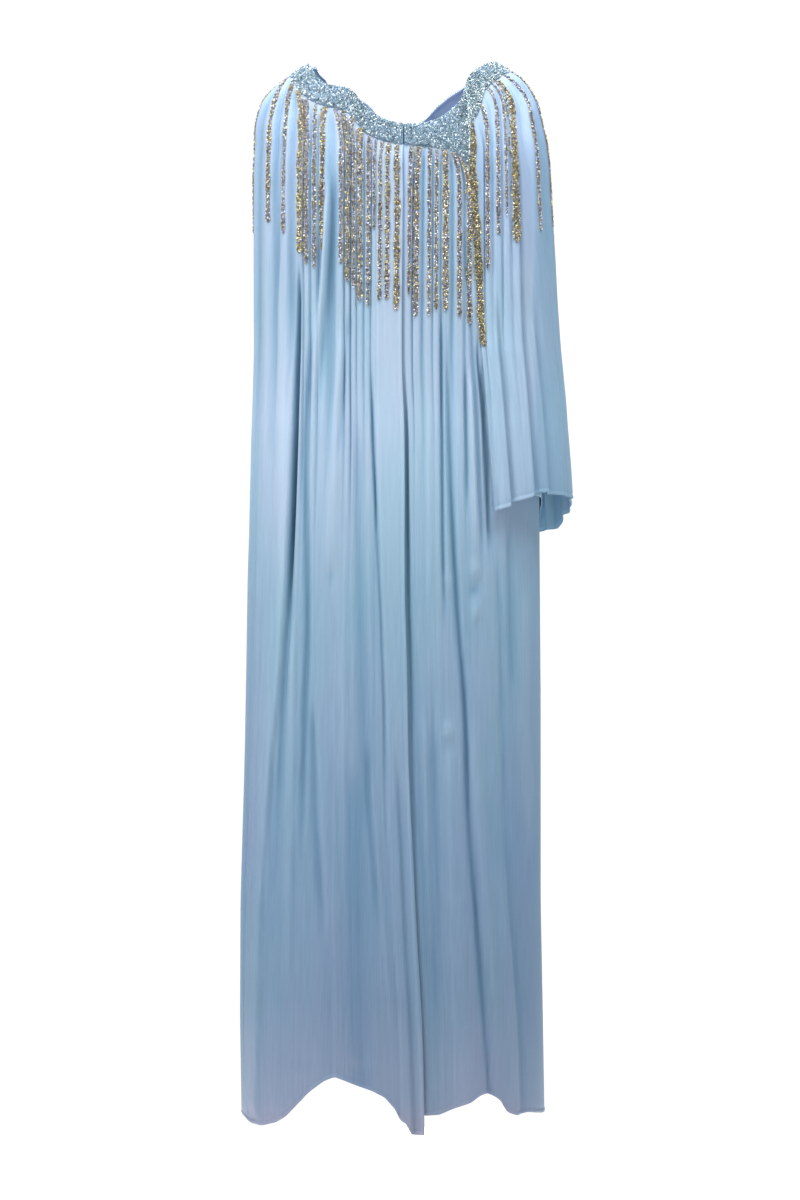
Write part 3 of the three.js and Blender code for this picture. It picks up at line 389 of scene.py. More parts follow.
# Fine ripples that follow the cloth: place, top, end, drift in degrees, depth and width
def rippleRelief(panel, low, z):
    relief = 0
    for place, topZ, lowZ, drift, depth, width in panel["ripples"]:
        run = (topZ - z) / (topZ - lowZ)
        if 0 < run < 1 and abs(low - place) < ripple["reach"]:
            apart = (formPoint(place + drift * run, z) - formPoint(low, z)).length
            swell = math.sin(math.pi * run) ** ripple["fullness"]
            relief += depth * swell * math.exp(-(apart / width) ** 2)
    return relief


foldShape = {"step": 6, "growsIn": 0.16, "fadesOver": 0.28, "toHem": -1440,
             "lowZ": -850, "lowReach": 250, "lowShare": 0.25}
foldStep = foldShape["step"]


# Where a fold runs and how deep it has grown, at even steps down the cloth
def traceFold(depth, wideLeft, wideRight, line):
    topZ, lowZ = line[0][0], line[-1][0]
    runsOut = lowZ > foldShape["toHem"]
    traced = {}
    for step in range(math.ceil(-topZ / foldStep), math.floor(-lowZ / foldStep) + 1):
        run = (topZ + step * foldStep) / (topZ - lowZ)
        fade = ease((run - 1 + foldShape["fadesOver"]) / foldShape["fadesOver"])
        grow = ease(run / foldShape["growsIn"]) * (1 - fade if runsOut else 1)
        eased = 1 - foldShape["lowShare"] * ease(
            (foldShape["lowZ"] + step * foldStep) / foldShape["lowReach"])
        traced[step] = (softRead(line, -step * foldStep, 35), depth * grow * eased)
    return wideLeft, wideRight, traced


frontTraced, backTraced, placketTraced = (
    [traceFold(*fold) for fold in folds] for folds in (frontFolds, backFolds, placketCrease))


def foldRelief(traced, x, z):
    relief = 0
    step = int(-z / foldStep)
    share = -z / foldStep - step
    for wideLeft, wideRight, line in traced:
        if step not in line:
            continue
        here = line[step]
        below = line.get(step + 1, (here[0], 0 if z > -1430 else here[1]))
        apart = x - here[0] - (below[0] - here[0]) * share
        wide = wideLeft if apart < 0 else wideRight
        if abs(apart) < 2.6 * wide:
            relief += (here[1] + (below[1] - here[1]) * share) * math.exp(-(apart / wide) ** 2)
    return relief


def buckleRelief(buckles, x, z):
    return sum(depth * math.exp(-((x - atX) / wide) ** 2 - ((z - atZ) / tall) ** 2)
               for atX, atZ, wide, tall, depth in buckles if abs(z - atZ) < 3 * tall)


# A narrow rolled hem: a thicker edge with its line of stitches above it, each given as
# height, distance from the edge and reach
rolledHem = {"roll": (0.7, 2.2, 2.6), "stitches": (-0.5, 6, 1.6)}


def hemRoll(fromEdge):
    return sum(proud * ease(1 - abs(fromEdge - place) / reach)
               for proud, place, reach in rolledHem.values())


def bodyRelief(panel, low, angle, z, topZ):
    onFront = abs(angle) < 90
    x = formPoint(angle, z).x
    dip, index = valley(panel, low)
    grown = clamp01((topZ - z) / form["gatherStart"])
    fadeTop = form["gatherFullZ"] + panel["fades"][index] * 0.5
    faded = 1 - form["gatherFade"] * ease(
        (fadeTop - z) / (form["gatherFullZ"] - form["gatherFadeZ"]))
    gather = -form["gatherDepth"] * panel["depths"][index] * dip * grown * faded
    return (gather + foldRelief(frontTraced if onFront else backTraced, x, z)
            + buckleRelief(frontBuckles if onFront else backBuckles, x, z)
            + rippleRelief(panel, low, z) * grown)


def openingX(z):
    return softRead(openingLine, z, 25)


def follows(low):
    return clamp01(1 - abs(low) / lap["followSpan"])


def slid(angle, z, shift):
    return angleAt(formPoint(angle, z).x + shift, z)


openingDrift = openingX(-1510) - openingX(-400)


def hemHeight(table, low, shift=0):
    return softRead(table, formPoint(low, table[0][1]).x + shift, 3)


def onForm(angle, z, relief):
    return formPoint(angle, z) + formNormal(angle, z) * relief


def frontLeftPoint(low, z, topZ, sunk=0):
    topEnd, lowEnd = frontLeft["end"]
    fanned = clamp01((topZ - z) / form["fanLength"])
    edgeX = formPoint(topEnd + (lowEnd - topEnd) * fanned, z).x
    angle = fannedAngle(frontLeft, low, z, topZ)
    if follows(low) > 0:
        angle = slid(angle, z, (openingX(z) - edgeX) * follows(low))
    fromEdge = openingX(z) - formPoint(angle, z).x
    tightened = lap["rampTightens"] * ease((lap["rampFromZ"] - z) / lap["rampOver"])
    lapped = ease((softRead(stripWidth, z, 20) - fromEdge) / (lap["ramp"] - tightened))
    grown = clamp01((topZ - z) / form["gatherStart"])
    ridge = ease((lap["ridgeReach"] - abs(fromEdge - lap["ridgeAt"])) / lap["ridgeSlope"])
    placket = lap["lift"] + lap["ridge"] * ridge * grown
    relief = bodyRelief(frontLeft, low, angle, z, topZ) * (1 - lapped) + placket * lapped * grown
    relief += hemRoll(fromEdge) * lap["edgeRoll"] * grown * ease((-150 - z) / 40)
    relief += foldRelief(placketTraced, openingX(z) - fromEdge, z)
    return onForm(angle, z, relief - sunk)


# The right front from its part under the lap, given as millimetres past the edge, to the side
def frontRightPoint(low, z, topZ, sunk=0):
    first = frontRight["start"][1]
    if low < first:
        past = (low - first) * lap["width"]
        return onForm(angleAt(openingX(z) + past + 0.5, z), z, -lap["underDepth"] - sunk)
    if low > seams["raglan"]:
        relief = foldRelief(frontTraced, formPoint(low, z).x, z)
        relief += rippleRelief(frontRight, seams["raglan"], z)
        return onForm(low, z, relief * underSleeve(z) - sunk)
    edgeX = formPoint(first, z).x - lap["groove"]
    angle = fannedAngle(frontRight, low, z, topZ)
    if follows(low) > 0:
        angle = slid(angle, z, (openingX(z) - edgeX) * follows(low))
    fromOpening = formPoint(angle, z).x - openingX(z)
    deep, wide, square = (softRead(openingLine, z, 20, column) for column in (2, 3, 4))
    groove = deep * math.exp(-(max(0, fromOpening - 0.6) / wide) ** square)
    relief = bodyRelief(frontRight, low, angle, z, topZ) - groove
    return onForm(angle, z, relief * seamHold(low, seams["raglan"], z) - sunk)


def armholeDrop(z):
    return form["armholeZ"] - z


# The body's relief starts softly below the armholes
def underSleeve(z):
    return ease(armholeDrop(z) / 30)


# Along a seam above the armhole the cloth keeps to the form, so that the panels meet
def seamHold(low, seam, z):
    held = ease((z - form["armholeZ"] + 60) / 60)
    return 1 - held * ease(1 - abs(low - seam) / 1.2)


def backPoint(low, z, topZ, sunk=0):
    if low < seams["backRaglan"] or low > seams["leftRaglan"]:
        x = formPoint(low, z).x
        edge = ease((low - seams["side"]) / 4) * ease((seams["leftSide"] - low) / 4)
        relief = foldRelief(backTraced, x, z) + buckleRelief(backBuckles, x, z)
        return onForm(low, z, relief * underSleeve(z) * edge - sunk)
    angle = fannedAngle(backPanel, low, z, topZ)
    relief = bodyRelief(backPanel, low, angle, z, topZ)
    relief *= seamHold(low, seams["backRaglan"], z) * seamHold(low, seams["leftRaglan"], z)
    return onForm(angle, z, relief - sunk)


# Pressed pleats in the lower sleeve: proud before the crease and dropping straight after it
def creaseRelief(sleeve, low, z):
    relief = 0
    for place, depth, topZ, wide in sleeve["creases"]:
        apart = low - place
        if abs(apart) < sleeveShape["creaseReach"] and z < topZ:
            side = sleeveShape["proud" if apart < 0 else "dropped"]
            grown = ease((topZ - z) / sleeveShape["creaseEase"])
            relief += depth * grown * side * math.exp(-(apart / wide) ** 2)
    return relief


def sleevePoint(sleeve, low, z, topZ, sunk=0):
    first, last = sleeve["start"][1], sleeve["end"][1]
    free = clamp01(armholeDrop(z) / sleeveShape["slideOver"])
    slide = sleeve["startShift"] * free * (1 - (low - first) / (last - first)) ** 2
    angle = fannedAngle(sleeve, low, z, topZ) + slide
    share = softRead(sleeve["spread"], low, 4)
    share *= ease(min(low - first, last - low) / 5 + 0.01)
    gap = read(edgeLift, z) * sleeve["lift"]
    out = gap * (1 - share) + max(gap, softRead(sleeve["swell"], z, 9)) * share
    grown = clamp01((topZ - z) / form["gatherStart"])
    lower = ease((sleeveShape["thinsFrom"] - z) / sleeveShape["thinsOver"])
    dip, index = valley(sleeve, low)
    depth = form["gatherDepth"] * sleeve["depths"][index] * (1 - lower * sleeveShape["thinsTo"])
    room = out * sleeveShape["room"]
    if z >= form["armholeZ"] + 60:
        room += sleeveShape["upperRoom"]
    relief = max(creaseRelief(sleeve, low, z) - depth * dip * grown, -room)
    relief += rippleRelief(sleeve, low, z) * min(1, room / 4) * grown
    relief *= seamHold(low, first, z) * seamHold(low, last, z)
    point = onForm(angle, z, relief - sunk)
    return point + formNormal(angle, z, True) * out


def innerSleevePoint(sleeve, base, z, share):
    free = clamp01(armholeDrop(z) / sleeveShape["slideOver"])
    slide = sleeve["startShift"] * free * ease((share - 0.8) / 0.2)
    gap = sleeveShape["innerGap"] + sleeveShape["innerEase"] * ease(armholeDrop(z) / 40)
    return formPoint(base + slide, z) + formNormal(base + slide, z, True) * gap


# Columns for a grid of cloth, closer where the line asks for it
def spacedLows(line, finest=7, pitch=2.5):
    lows = [line[0]]
    for a, b in zip(line, line[1:]):
        long = (formPoint(a, -300) - formPoint(b, -300)).length
        count = max(finest, round(long / pitch))
        lows += [a + (b - a) * (step + 1) / count for step in range(count)]
    return lows


upperShares = [0, 0.008, 0.02, 0.035, 0.055, 0.08] + [0.08 + 0.92 * s / 30 for s in range(1, 31)]
lowerShares = [0.99 * s / 98 for s in range(1, 99)] + [
    0.9925, 0.9945, 0.996, 0.9975, 0.9988, 1]
sleeveShares = [0.94 * s / 24 for s in range(1, 25)] + [0.96, 0.972, 0.982, 0.99, 0.995, 1]


def deselectAll():
    if bpy.context.object and bpy.context.object.mode != "OBJECT":
        bpy.ops.object.mode_set(mode="OBJECT")
    bpy.ops.object.select_all(action="DESELECT")


# A flat grid of cloth, laid point by point; where(column, row) gives the place in millimetres
# and how deep in a fold it lies, and drop(column, row) cuts away the faces that aren't cloth
def layCloth(name, columns, rows, where, drop=None, wraps=False):
    deselectAll()
    bpy.ops.mesh.primitive_grid_add(x_subdivisions=columns - 1, y_subdivisions=rows - 1, size=1)
    cloth = bpy.context.object
    cloth.name = cloth.data.name = name
    mesh = cloth.data
    cells = [(round((v.co.x + 0.5) * (columns - 1)), round((0.5 - v.co.y) * (rows - 1)))
             for v in mesh.vertices]
    bpy.ops.object.mode_set(mode="EDIT")
    bpy.ops.mesh.select_mode(type="FACE")
    bpy.ops.mesh.select_all(action="DESELECT")
    bpy.ops.object.mode_set(mode="OBJECT")
    depths = []
    for vertex, (column, row) in zip(mesh.vertices, cells):
        place, depth = where(column, row)
        vertex.co = place * mm
        depths.append(depth)
    # The fold depth, stored for the satin's painted shade in its folds
    mesh.attributes.new("fold", "FLOAT", "POINT").data.foreach_set("value", depths)
    for face in mesh.polygons:
        corner = [cells[i] for i in face.vertices]
        column, row = min(c for c, r in corner), min(r for c, r in corner)
        face.select = bool(drop and drop(column, row))
    bpy.ops.object.mode_set(mode="EDIT")
    if drop:
        bpy.ops.mesh.delete(type="FACE")
    if wraps:
        bpy.ops.mesh.select_all(action="SELECT")
        bpy.ops.mesh.remove_doubles(threshold=0.00002)
    bpy.ops.object.mode_set(mode="OBJECT")
    return cloth


def clothUv(cloth):
    mesh = cloth.data
    layer = mesh.uv_layers.active or mesh.uv_layers.new(name="UVMap")
    for loop in mesh.loops:
        co = mesh.vertices[loop.vertex_index].co
        around = math.atan2(co.x, -co.y) * 0.17
        layer.data[loop.index].uv = (around, co.z)


def thicken(cloth, wall, materials):
    for material in materials:
        cloth.data.materials.append(material)
    modifier = cloth.modifiers.new("wall", "SOLIDIFY")
    modifier.thickness = wall * mm
    modifier.offset = -1
    modifier.use_even_offset = False
    modifier.material_offset = 1 if len(materials) > 1 else 0
    bpy.context.view_layer.objects.active = cloth
    bpy.ops.object.modifier_apply(modifier="wall")
    for face in cloth.data.polygons:
        face.use_smooth = True


# The shader's own sockets are set by name, with spaces for the underscores
def setInputs(node, **values):
    for key, value in values.items():
        node.inputs[key.replace("_", " ")].default_value = value


def addNode(tree, kind, place, **values):
    node = tree.nodes.new(kind)
    node.location = place
    for key, value in values.items():
        if hasattr(node, key):
            setattr(node, key, value)
        else:
            setInputs(node, **{key: value})
    return node


# Each wire is a node and its output, then a node and its input
def wire(tree, *wires):
    for source, out, target, into in wires:
        tree.links.new(source.outputs[out], target.inputs[into])


def newMaterial(name):
    material = bpy.data.materials.new(name)
    material.use_nodes = True
    tree = material.node_tree
    coords = addNode(tree, "ShaderNodeTexCoord", (-1500, 0))
    return material, tree, tree.nodes["Principled BSDF"], coords


def makeWeave():
    tree = bpy.data.node_groups.new("satinWeave", "ShaderNodeTree")
    for name, side, kind in (("Vector", "INPUT", "Vector"), ("Threads", "INPUT", "Float"),
                             ("Slub", "INPUT", "Float"), ("Height", "OUTPUT", "Float"),
                             ("Streak", "OUTPUT", "Float")):
        tree.interface.new_socket(name, in_out=side, socket_type="NodeSocket" + kind)
    entry = addNode(tree, "NodeGroupInput", (-900, 0))
    leave = addNode(tree, "NodeGroupOutput", (500, 0))
    warp = addNode(tree, "ShaderNodeTexWave", (-400, 200), bands_direction="X", Distortion=1.2)
    weft = addNode(tree, "ShaderNodeTexWave", (-400, -80), bands_direction="Y", Distortion=0.8)
    stretch = addNode(tree, "ShaderNodeMapping", (-650, -360), Scale=(1, 0.035, 1))
    slub = addNode(tree, "ShaderNodeTexNoise", (-400, -360), Scale=420, Detail=3)
    crossed = addNode(tree, "ShaderNodeMath", (-150, 80), operation="MULTIPLY")
    heavier = addNode(tree, "ShaderNodeMath", (-150, -240), operation="MULTIPLY")
    total = addNode(tree, "ShaderNodeMath", (120, 0), operation="ADD")
    wire(tree, (entry, "Vector", warp, "Vector"), (entry, "Vector", weft, "Vector"),
         (entry, "Threads", warp, "Scale"), (entry, "Threads", weft, "Scale"),
         (entry, "Vector", stretch, "Vector"), (stretch, 0, slub, "Vector"),
         (warp, 1, crossed, 0), (weft, 1, crossed, 1), (slub, 0, heavier, 0),
         (entry, "Slub", heavier, 1), (crossed, 0, total, 0), (heavier, 0, total, 1),
         (total, 0, leave, "Height"), (slub, 0, leave, "Streak"))
    return tree


weaveGroup = makeWeave()
# Colours of the satin from the shoulders to the hem, as z in metres and linear colour;
# both sides grow darker towards the hem, painted shade for the light falling off downwards
satinTones = {
    "outside": [(-1.49, (0.21, 0.21, 0.29)), (-1.44, (0.158, 0.207, 0.295)),
                (-1.3, (0.122, 0.197, 0.288)), (-1.1, (0.148, 0.235, 0.345)),
                (-0.75, (0.222, 0.345, 0.455)), (-0.5, (0.355, 0.48, 0.61)),
                (-0.33, (0.325, 0.44, 0.56)), (0.0, (0.36, 0.465, 0.64))],
    "inside": [(-1.49, (0.4, 0.5, 0.62)), (-0.6, (0.58, 0.74, 0.86)), (0.0, (0.62, 0.68, 0.9))],
    # Painted shade and painted highlight: a fold's depth in millimetres and the colour it
    # multiplies by, darker in troughs and lighter on crests
    "depths": [(-13, (0.2, 0.33, 0.4)), (-7, (0.46, 0.62, 0.69)), (-2.5, (0.79, 0.89, 0.93)),
               (0, (1, 1, 1)), (3, (1.1, 1.08, 1.06)), (8, (1.28, 1.22, 1.16))],
    "drift": [(0.35, (0.925, 0.995, 0.995)), (0.65, (1.055, 0.99, 1.02))],
    "roughness": 0.46, "heights": (-1.49, 0.01), "foldRange": (-13, 8)}


def addRamp(tree, place, stops, first=0, last=1):
    ramp = addNode(tree, "ShaderNodeValToRGB", place)
    elements = ramp.color_ramp.elements
    for element, (value, tone) in zip(elements, (stops[0], stops[-1])):
        element.position, element.color = (value - first) / (last - first), (*tone, 1)
    for value, tone in stops[1:-1]:
        elements.new((value - first) / (last - first)).color = (*tone, 1)
    return ramp


def satinMaterial(name, tones, sheen):
    material, tree, shader, coords = newMaterial(name)
    low, high = satinTones["heights"]
    deepest, proudest = satinTones["foldRange"]
    rough = satinTones["roughness"]
    parts = addNode(tree, "ShaderNodeSeparateXYZ", (-1300, 200))
    # Colour by height, darker towards the hem: painted shade for the light falling off downwards
    height = addNode(tree, "ShaderNodeMapRange", (-1100, 200), From_Min=low, From_Max=high)
    ramp = addRamp(tree, (-900, 200), tones, low, high)
    weave = addNode(tree, "ShaderNodeGroup", (-1100, -200), node_tree=weaveGroup,
                    Threads=520, Slub=0.8)
    hang = addNode(tree, "ShaderNodeMapping", (-1300, -450), Scale=(9, 9, 2.2))
    cloud = addNode(tree, "ShaderNodeTexNoise", (-1100, -450), Scale=1.6, Detail=2)
    drift = addRamp(tree, (-350, -50), satinTones["drift"])
    # Painted shade in the folds and painted highlight on the crests, read from the fold depth
    fold = addNode(tree, "ShaderNodeAttribute", (-1100, 500), attribute_name="fold")
    foldShadeLevel = addNode(tree, "ShaderNodeMapRange", (-900, 500), From_Min=deepest, From_Max=proudest)
    shade = addRamp(tree, (-650, 500), satinTones["depths"], deepest, proudest)
    folded = addNode(tree, "ShaderNodeMix", (-450, 300), data_type="RGBA",
                     blend_type="MULTIPLY", Factor=1)
    streaked = addNode(tree, "ShaderNodeMix", (-250, 200), data_type="RGBA",
                       blend_type="SOFT_LIGHT", Factor=0.22)
    clouded = addNode(tree, "ShaderNodeMix", (-80, 100), data_type="RGBA",
                      blend_type="MULTIPLY", Factor=1)
    gloss = addNode(tree, "ShaderNodeMapRange", (-400, -200), To_Min=rough - 0.06,
                    To_Max=rough + 0.08)
    bump = addNode(tree, "ShaderNodeBump", (-250, -400), Strength=0.22, Distance=0.0004)
    wire(tree, (coords, "Object", parts, 0), (parts, "Z", height, "Value"),
         (height, 0, ramp, 0), (coords, "UV", weave, "Vector"),
         (coords, "Object", hang, "Vector"), (hang, 0, cloud, "Vector"),
         (cloud, 0, drift, "Fac"), (fold, "Fac", foldShadeLevel, "Value"), (foldShadeLevel, 0, shade, "Fac"),
         (ramp, 0, folded, 6), (shade, "Color", folded, 7), (folded, 2, streaked, 6),
         (weave, "Streak", streaked, 7), (streaked, 2, clouded, 6), (drift, "Color", clouded, 7),
         (clouded, 2, shader, "Base Color"), (weave, "Streak", gloss, "Value"),
         (gloss, 0, shader, "Roughness"), (weave, "Height", bump, "Height"),
         (bump, 0, shader, "Normal"))
    setInputs(shader, Sheen_Weight=sheen, Sheen_Roughness=0.4, Sheen_Tint=(0.75, 0.88, 1, 1),
              Specular_IOR_Level=0.45)
    return material


def beadMaterial(name, metallic, roughness):
    material, tree, shader, coords = newMaterial(name)
    tone = addNode(tree, "ShaderNodeAttribute", (-800, 200), attribute_name="tone")
    speck = addNode(tree, "ShaderNodeTexNoise", (-800, -100), Scale=900, Detail=1)
    gloss = addNode(tree, "ShaderNodeMapRange", (-500, -100), To_Min=roughness - 0.06,
                    To_Max=roughness + 0.12)
    wire(tree, (tone, "Color", shader, "Base Color"), (coords, "Object", speck, "Vector"),
         (speck, 0, gloss, "Value"), (gloss, 0, shader, "Roughness"))
    setInputs(shader, Metallic=metallic, Coat_Weight=0.4)
    return material


# Plied thread, as worked under the bead rows; its dark tones also stand for the shade between the
# beads, painted shade
def threadMaterial(name, tones):
    material, tree, shader, coords = newMaterial(name)
    weave = addNode(tree, "ShaderNodeGroup", (-750, 0), node_tree=weaveGroup,
                    Threads=700, Slub=0.4)
    mottle = addNode(tree, "ShaderNodeTexNoise", (-750, -250), Scale=700, Detail=2)
    ramp = addRamp(tree, (-500, 100), tones)
    bump = addNode(tree, "ShaderNodeBump", (-300, -250), Strength=0.3, Distance=0.0004)
    wire(tree, (coords, "Object", weave, "Vector"), (coords, "Object", mottle, "Vector"),
         (mottle, 0, ramp, 0), (ramp, 0, shader, "Base Color"),
         (weave, "Height", bump, "Height"), (bump, 0, shader, "Normal"))
    setInputs(shader, Roughness=0.6)
    return material


satin = satinMaterial("iceBlueSatin", satinTones["outside"], 0.14)
satinReverse = satinMaterial("satinReverse", satinTones["inside"], 0.1)
rowBeadFinish = beadMaterial("goldAndLilacBeads", 0.3, 0.24)
bandBeadFinish = beadMaterial("crystalBeads", 0.2, 0.16)
rowThreadAndShade = threadMaterial("rowThreadAndShade", [(0.35, (0.17, 0.17, 0.20)), (0.65, (0.30, 0.31, 0.37))])
print("materials made")


# A cloth's last steps: its UVs, its thickness, its place under the root and the hiding of the CAD
# part it stands for
def finishPanel(cloth, node):
    clothUv(cloth)
    thicken(cloth, form["wall"], [satin, satinReverse])
    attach(cloth, "root")
    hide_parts(node)
    print(node, "laid,", len(cloth.data.polygons), "faces")
    return cloth


# Rows of a panel that hangs from the band, with its flange tucked under the band
def panelRow(row, topZ, hemZ):
    if row == 0:
        return topZ + form["tuckUp"], form["tuckIn"]
    row -= 1
    if row < len(upperShares):
        return topZ + (form["armholeZ"] - topZ) * upperShares[row], 0
    return form["armholeZ"] + (hemZ - form["armholeZ"]) * lowerShares[row - len(upperShares)], 0


# A panel's columns with its seam allowances, turned in behind both edges
def flanged(lows, atStart, atEnd):
    columns = [(low, 0) for low in lows]
    if atStart:
        columns.insert(0, (lows[0], form["flange"]))
    if atEnd:
        columns.append((lows[-1], form["flange"]))
    return columns


def hangPanel(name, panel, columns, point, hemZ, isUnder):
    rows = 1 + len(upperShares) + len(lowerShares)
    armholeRow = len(upperShares)

    def where(column, row):
        low, turnedIn = columns[column]
        under = isUnder(low)
        topZ = form["armholeZ"] if under else bandAt(topOf(panel, low), 1)
        hem = hemZ(low)
        z, tucked = panelRow(max(row, 1) if under else row, topZ, hem)
        place = point(low, z, topZ, turnedIn + tucked)
        place += formNormal(low, z) * (hemRoll(z - hem) if row > armholeRow else 0)
        return place, foldShadeDepth(place, z)

    def drop(column, row):
        middle = (columns[column][0] + columns[column + 1][0]) / 2
        return isUnder(middle) and row < armholeRow

    return layCloth(name, len(columns), rows, where, drop)


# Painted shade beyond what the relief gives, in millimetres of fold depth: on the body beside
# the sleeve, on the sleeve as a whole, its shoulder and its far side
extraShade = {"beside": (2.2, 128, 45), "besideZ": (-400, 200), "sleeve": 1,
              "shoulder": (0.8, -330, 120), "farSide": (3, 184, 7)}


# How far a point lies inside the smooth form, less the painted shade beside the sleeve: it sets
# the satin's painted shade in its folds
def foldShadeDepth(place, z):
    angle = angleAt(place.x, z, place.y > 0)
    smooth = formPoint(angle, z)
    # Painted shade on the front beside the right sleeve, growing below the armhole
    aside, fromX, over = extraShade["beside"]
    topZ, eased = extraShade["besideZ"]
    aside *= ease((place.x - fromX) / over) * ease((topZ - z) / eased) if place.y < 0 else 0
    return (place - smooth).dot(formNormal(angle, z)) - aside


def makeFrontLeft():
    lows = spacedLows(knotLows(frontLeft), 6, 1.7)
    cloth = hangPanel(
        "leftFrontCloth", frontLeft, flanged(lows, True, False), frontLeftPoint,
        lambda low: hemHeight(frontHem, low, openingDrift * follows(low)), lambda low: False)
    return finishPanel(cloth, "front_left")


def makeFrontRight():
    first = frontRight["start"][1]
    under = [first - 1 + step / 8 for step in range(8)]
    lows = under + spacedLows(knotLows(frontRight), 6, 1.6)
    side = spacedLows([seams["raglan"], seams["side"]], 7, 3.2)[1:]
    cloth = hangPanel(
        "rightFrontCloth", frontRight, flanged(lows + side, False, True), frontRightPoint,
        lambda low: hemHeight(
            frontRightHem, max(low, first), openingDrift * follows(low)
            + min(0, low - first) * lap["width"]),
        lambda low: low > seams["raglan"])
    return finishPanel(cloth, "front_right")


def makeBack():
    first, last = seams["backRaglan"], seams["leftRaglan"]
    lows = spacedLows([seams["side"], first], 7, 3.2)[:-1]
    lows += spacedLows(knotLows(backPanel))
    lows += spacedLows([last, seams["leftSide"]], 7, 3.2)[1:]
    cloth = hangPanel(
        "backCloth", backPanel, flanged(lows, True, True), backPoint,
        lambda low: hemHeight(backHem, low), lambda low: low < first or low > last)
    return finishPanel(cloth, "back")


def makeSleeve(name, sleeve, node):
    lows = spacedLows(knotLows(sleeve), 7, 2)
    outer = flanged(lows, True, True)
    innerFrom, innerTo = sleeve["inner"]
    innerCount = round(abs(innerTo - innerFrom) / 2.4)
    inner = [innerFrom + (innerTo - innerFrom) * step / innerCount
             for step in range(innerCount + 1)]
    armholeRow = len(upperShares)
    rows = 1 + len(upperShares) + len(sleeveShares)
    total = len(outer) + len(inner) + 1

    def rowZ(row, topZ, cuffZ):
        if row <= armholeRow:
            return panelRow(row, topZ, cuffZ)
        share = sleeveShares[row - armholeRow - 1]
        return form["armholeZ"] + (cuffZ - form["armholeZ"]) * share, 0

    def where(column, row):
        column %= total - 1
        if column < len(outer):
            low, turnedIn = outer[column]
            topZ = bandAt(topOf(sleeve, low), 1)
            cuffZ = read(sleeve["cuff"], low)
            z, tucked = rowZ(row, topZ, cuffZ)
            place = sleevePoint(sleeve, low, z, topZ, turnedIn + tucked)
            angle = fannedAngle(sleeve, low, z, topZ)
            if row > armholeRow:
                place += formNormal(angle, z) * hemRoll(z - cuffZ)
            crown = sleevePoint(sleeve, low, z, topZ + 9999)
            # Painted shade on the sleeve: a little all over, more on its shoulder and on its far
            # side
            paintedSleeveShade = extraShade["sleeve"] + sum(
                more * ease((at - start) / over) for at, (more, start, over) in (
                    (z, extraShade["shoulder"]), (place.x, extraShade["farSide"])))
            return place, (place - crown).dot(formNormal(angle, z)) - paintedSleeveShade
        step = column - len(outer)
        base = inner[step]
        cuffZ = softRead(sleeve["cuff"], base, 3)
        z = form["armholeZ"] if row <= armholeRow else rowZ(row, 0, cuffZ)[0]
        # The inside of the sleeve gets a fixed painted shade
        return innerSleevePoint(sleeve, base, z, step / innerCount), -3

    def drop(column, row):
        return column >= len(outer) - 1 and row < armholeRow

    cloth = layCloth(name, total, rows, where, drop, wraps=True)
    return finishPanel(cloth, node)


leftFront = makeFrontLeft()
rightFront = makeFrontRight()
backCloth = makeBack()
rightSleeve = makeSleeve("rightSleeveCloth", sleeveRight, "sleeve_right")
leftSleeve = makeSleeve("leftSleeveCloth", sleeveLeft, "sleeve_left")

# The beads: sizes and pitches in millimetres, tones as linear colours; the palest tone in each
# list is a painted glint, standing in for the beads' sparkle
beads = {"rowSize": 2.3, "rowPitch": 2.15, "bandSize": 2.15, "bandPitch": 2.2, "missing": 0.1,
         "taper": 5, "flatten": 0.86, "rowSizes": (0.78, 1.18), "rowTones": (0.55, 1.45),
         "bandSizes": (0.8, 1.15), "bandTones": (0.85, 1.15), "aside": 0.4, "along": 0.7,
         "gold": [(0.33, 0.26, 0.085), (0.44, 0.36, 0.12), (0.19, 0.15, 0.06), (0.78, 0.70, 0.38)],
         "lilac": [(0.33, 0.33, 0.41), (0.42, 0.43, 0.53), (0.13, 0.12, 0.15),
                   (0.76, 0.76, 0.84), (0.27, 0.25, 0.26), (0.34, 0.31, 0.30)],
         "ice": [(0.19, 0.28, 0.315), (0.27, 0.37, 0.41), (0.075, 0.125, 0.155),
                 (0.21, 0.31, 0.345), (0.38, 0.48, 0.52), (0.82, 0.88, 0.90),
                 (0.20, 0.29, 0.335)]}


# One small faceted bead, which every row then repeats
def makeBead():
    deselectAll()
    bpy.ops.mesh.primitive_ico_sphere_add(subdivisions=1, radius=0.5)
    bead = bpy.context.object
    bpy.ops.object.mode_set(mode="EDIT")
    bpy.ops.mesh.select_all(action="SELECT")
    bpy.ops.transform.resize(value=(1, 1, beads["flatten"]))
    bpy.ops.object.mode_set(mode="OBJECT")
    points = [vertex.co.copy() for vertex in bead.data.vertices]
    faces = [tuple(face.vertices) for face in bead.data.polygons]
    bpy.data.objects.remove(bead)
    return points, faces


beadPoints, beadFaces = makeBead()
turnDice = random.Random(5)
beadTurns = []
for _ in range(24):
    turning = Vector((turnDice.gauss(0, 1), turnDice.gauss(0, 1), turnDice.gauss(0, 1)))
    rotation = turning.normalized().rotation_difference(Vector((0, 0, 1)))
    beadTurns.append([rotation @ point for point in beadPoints])


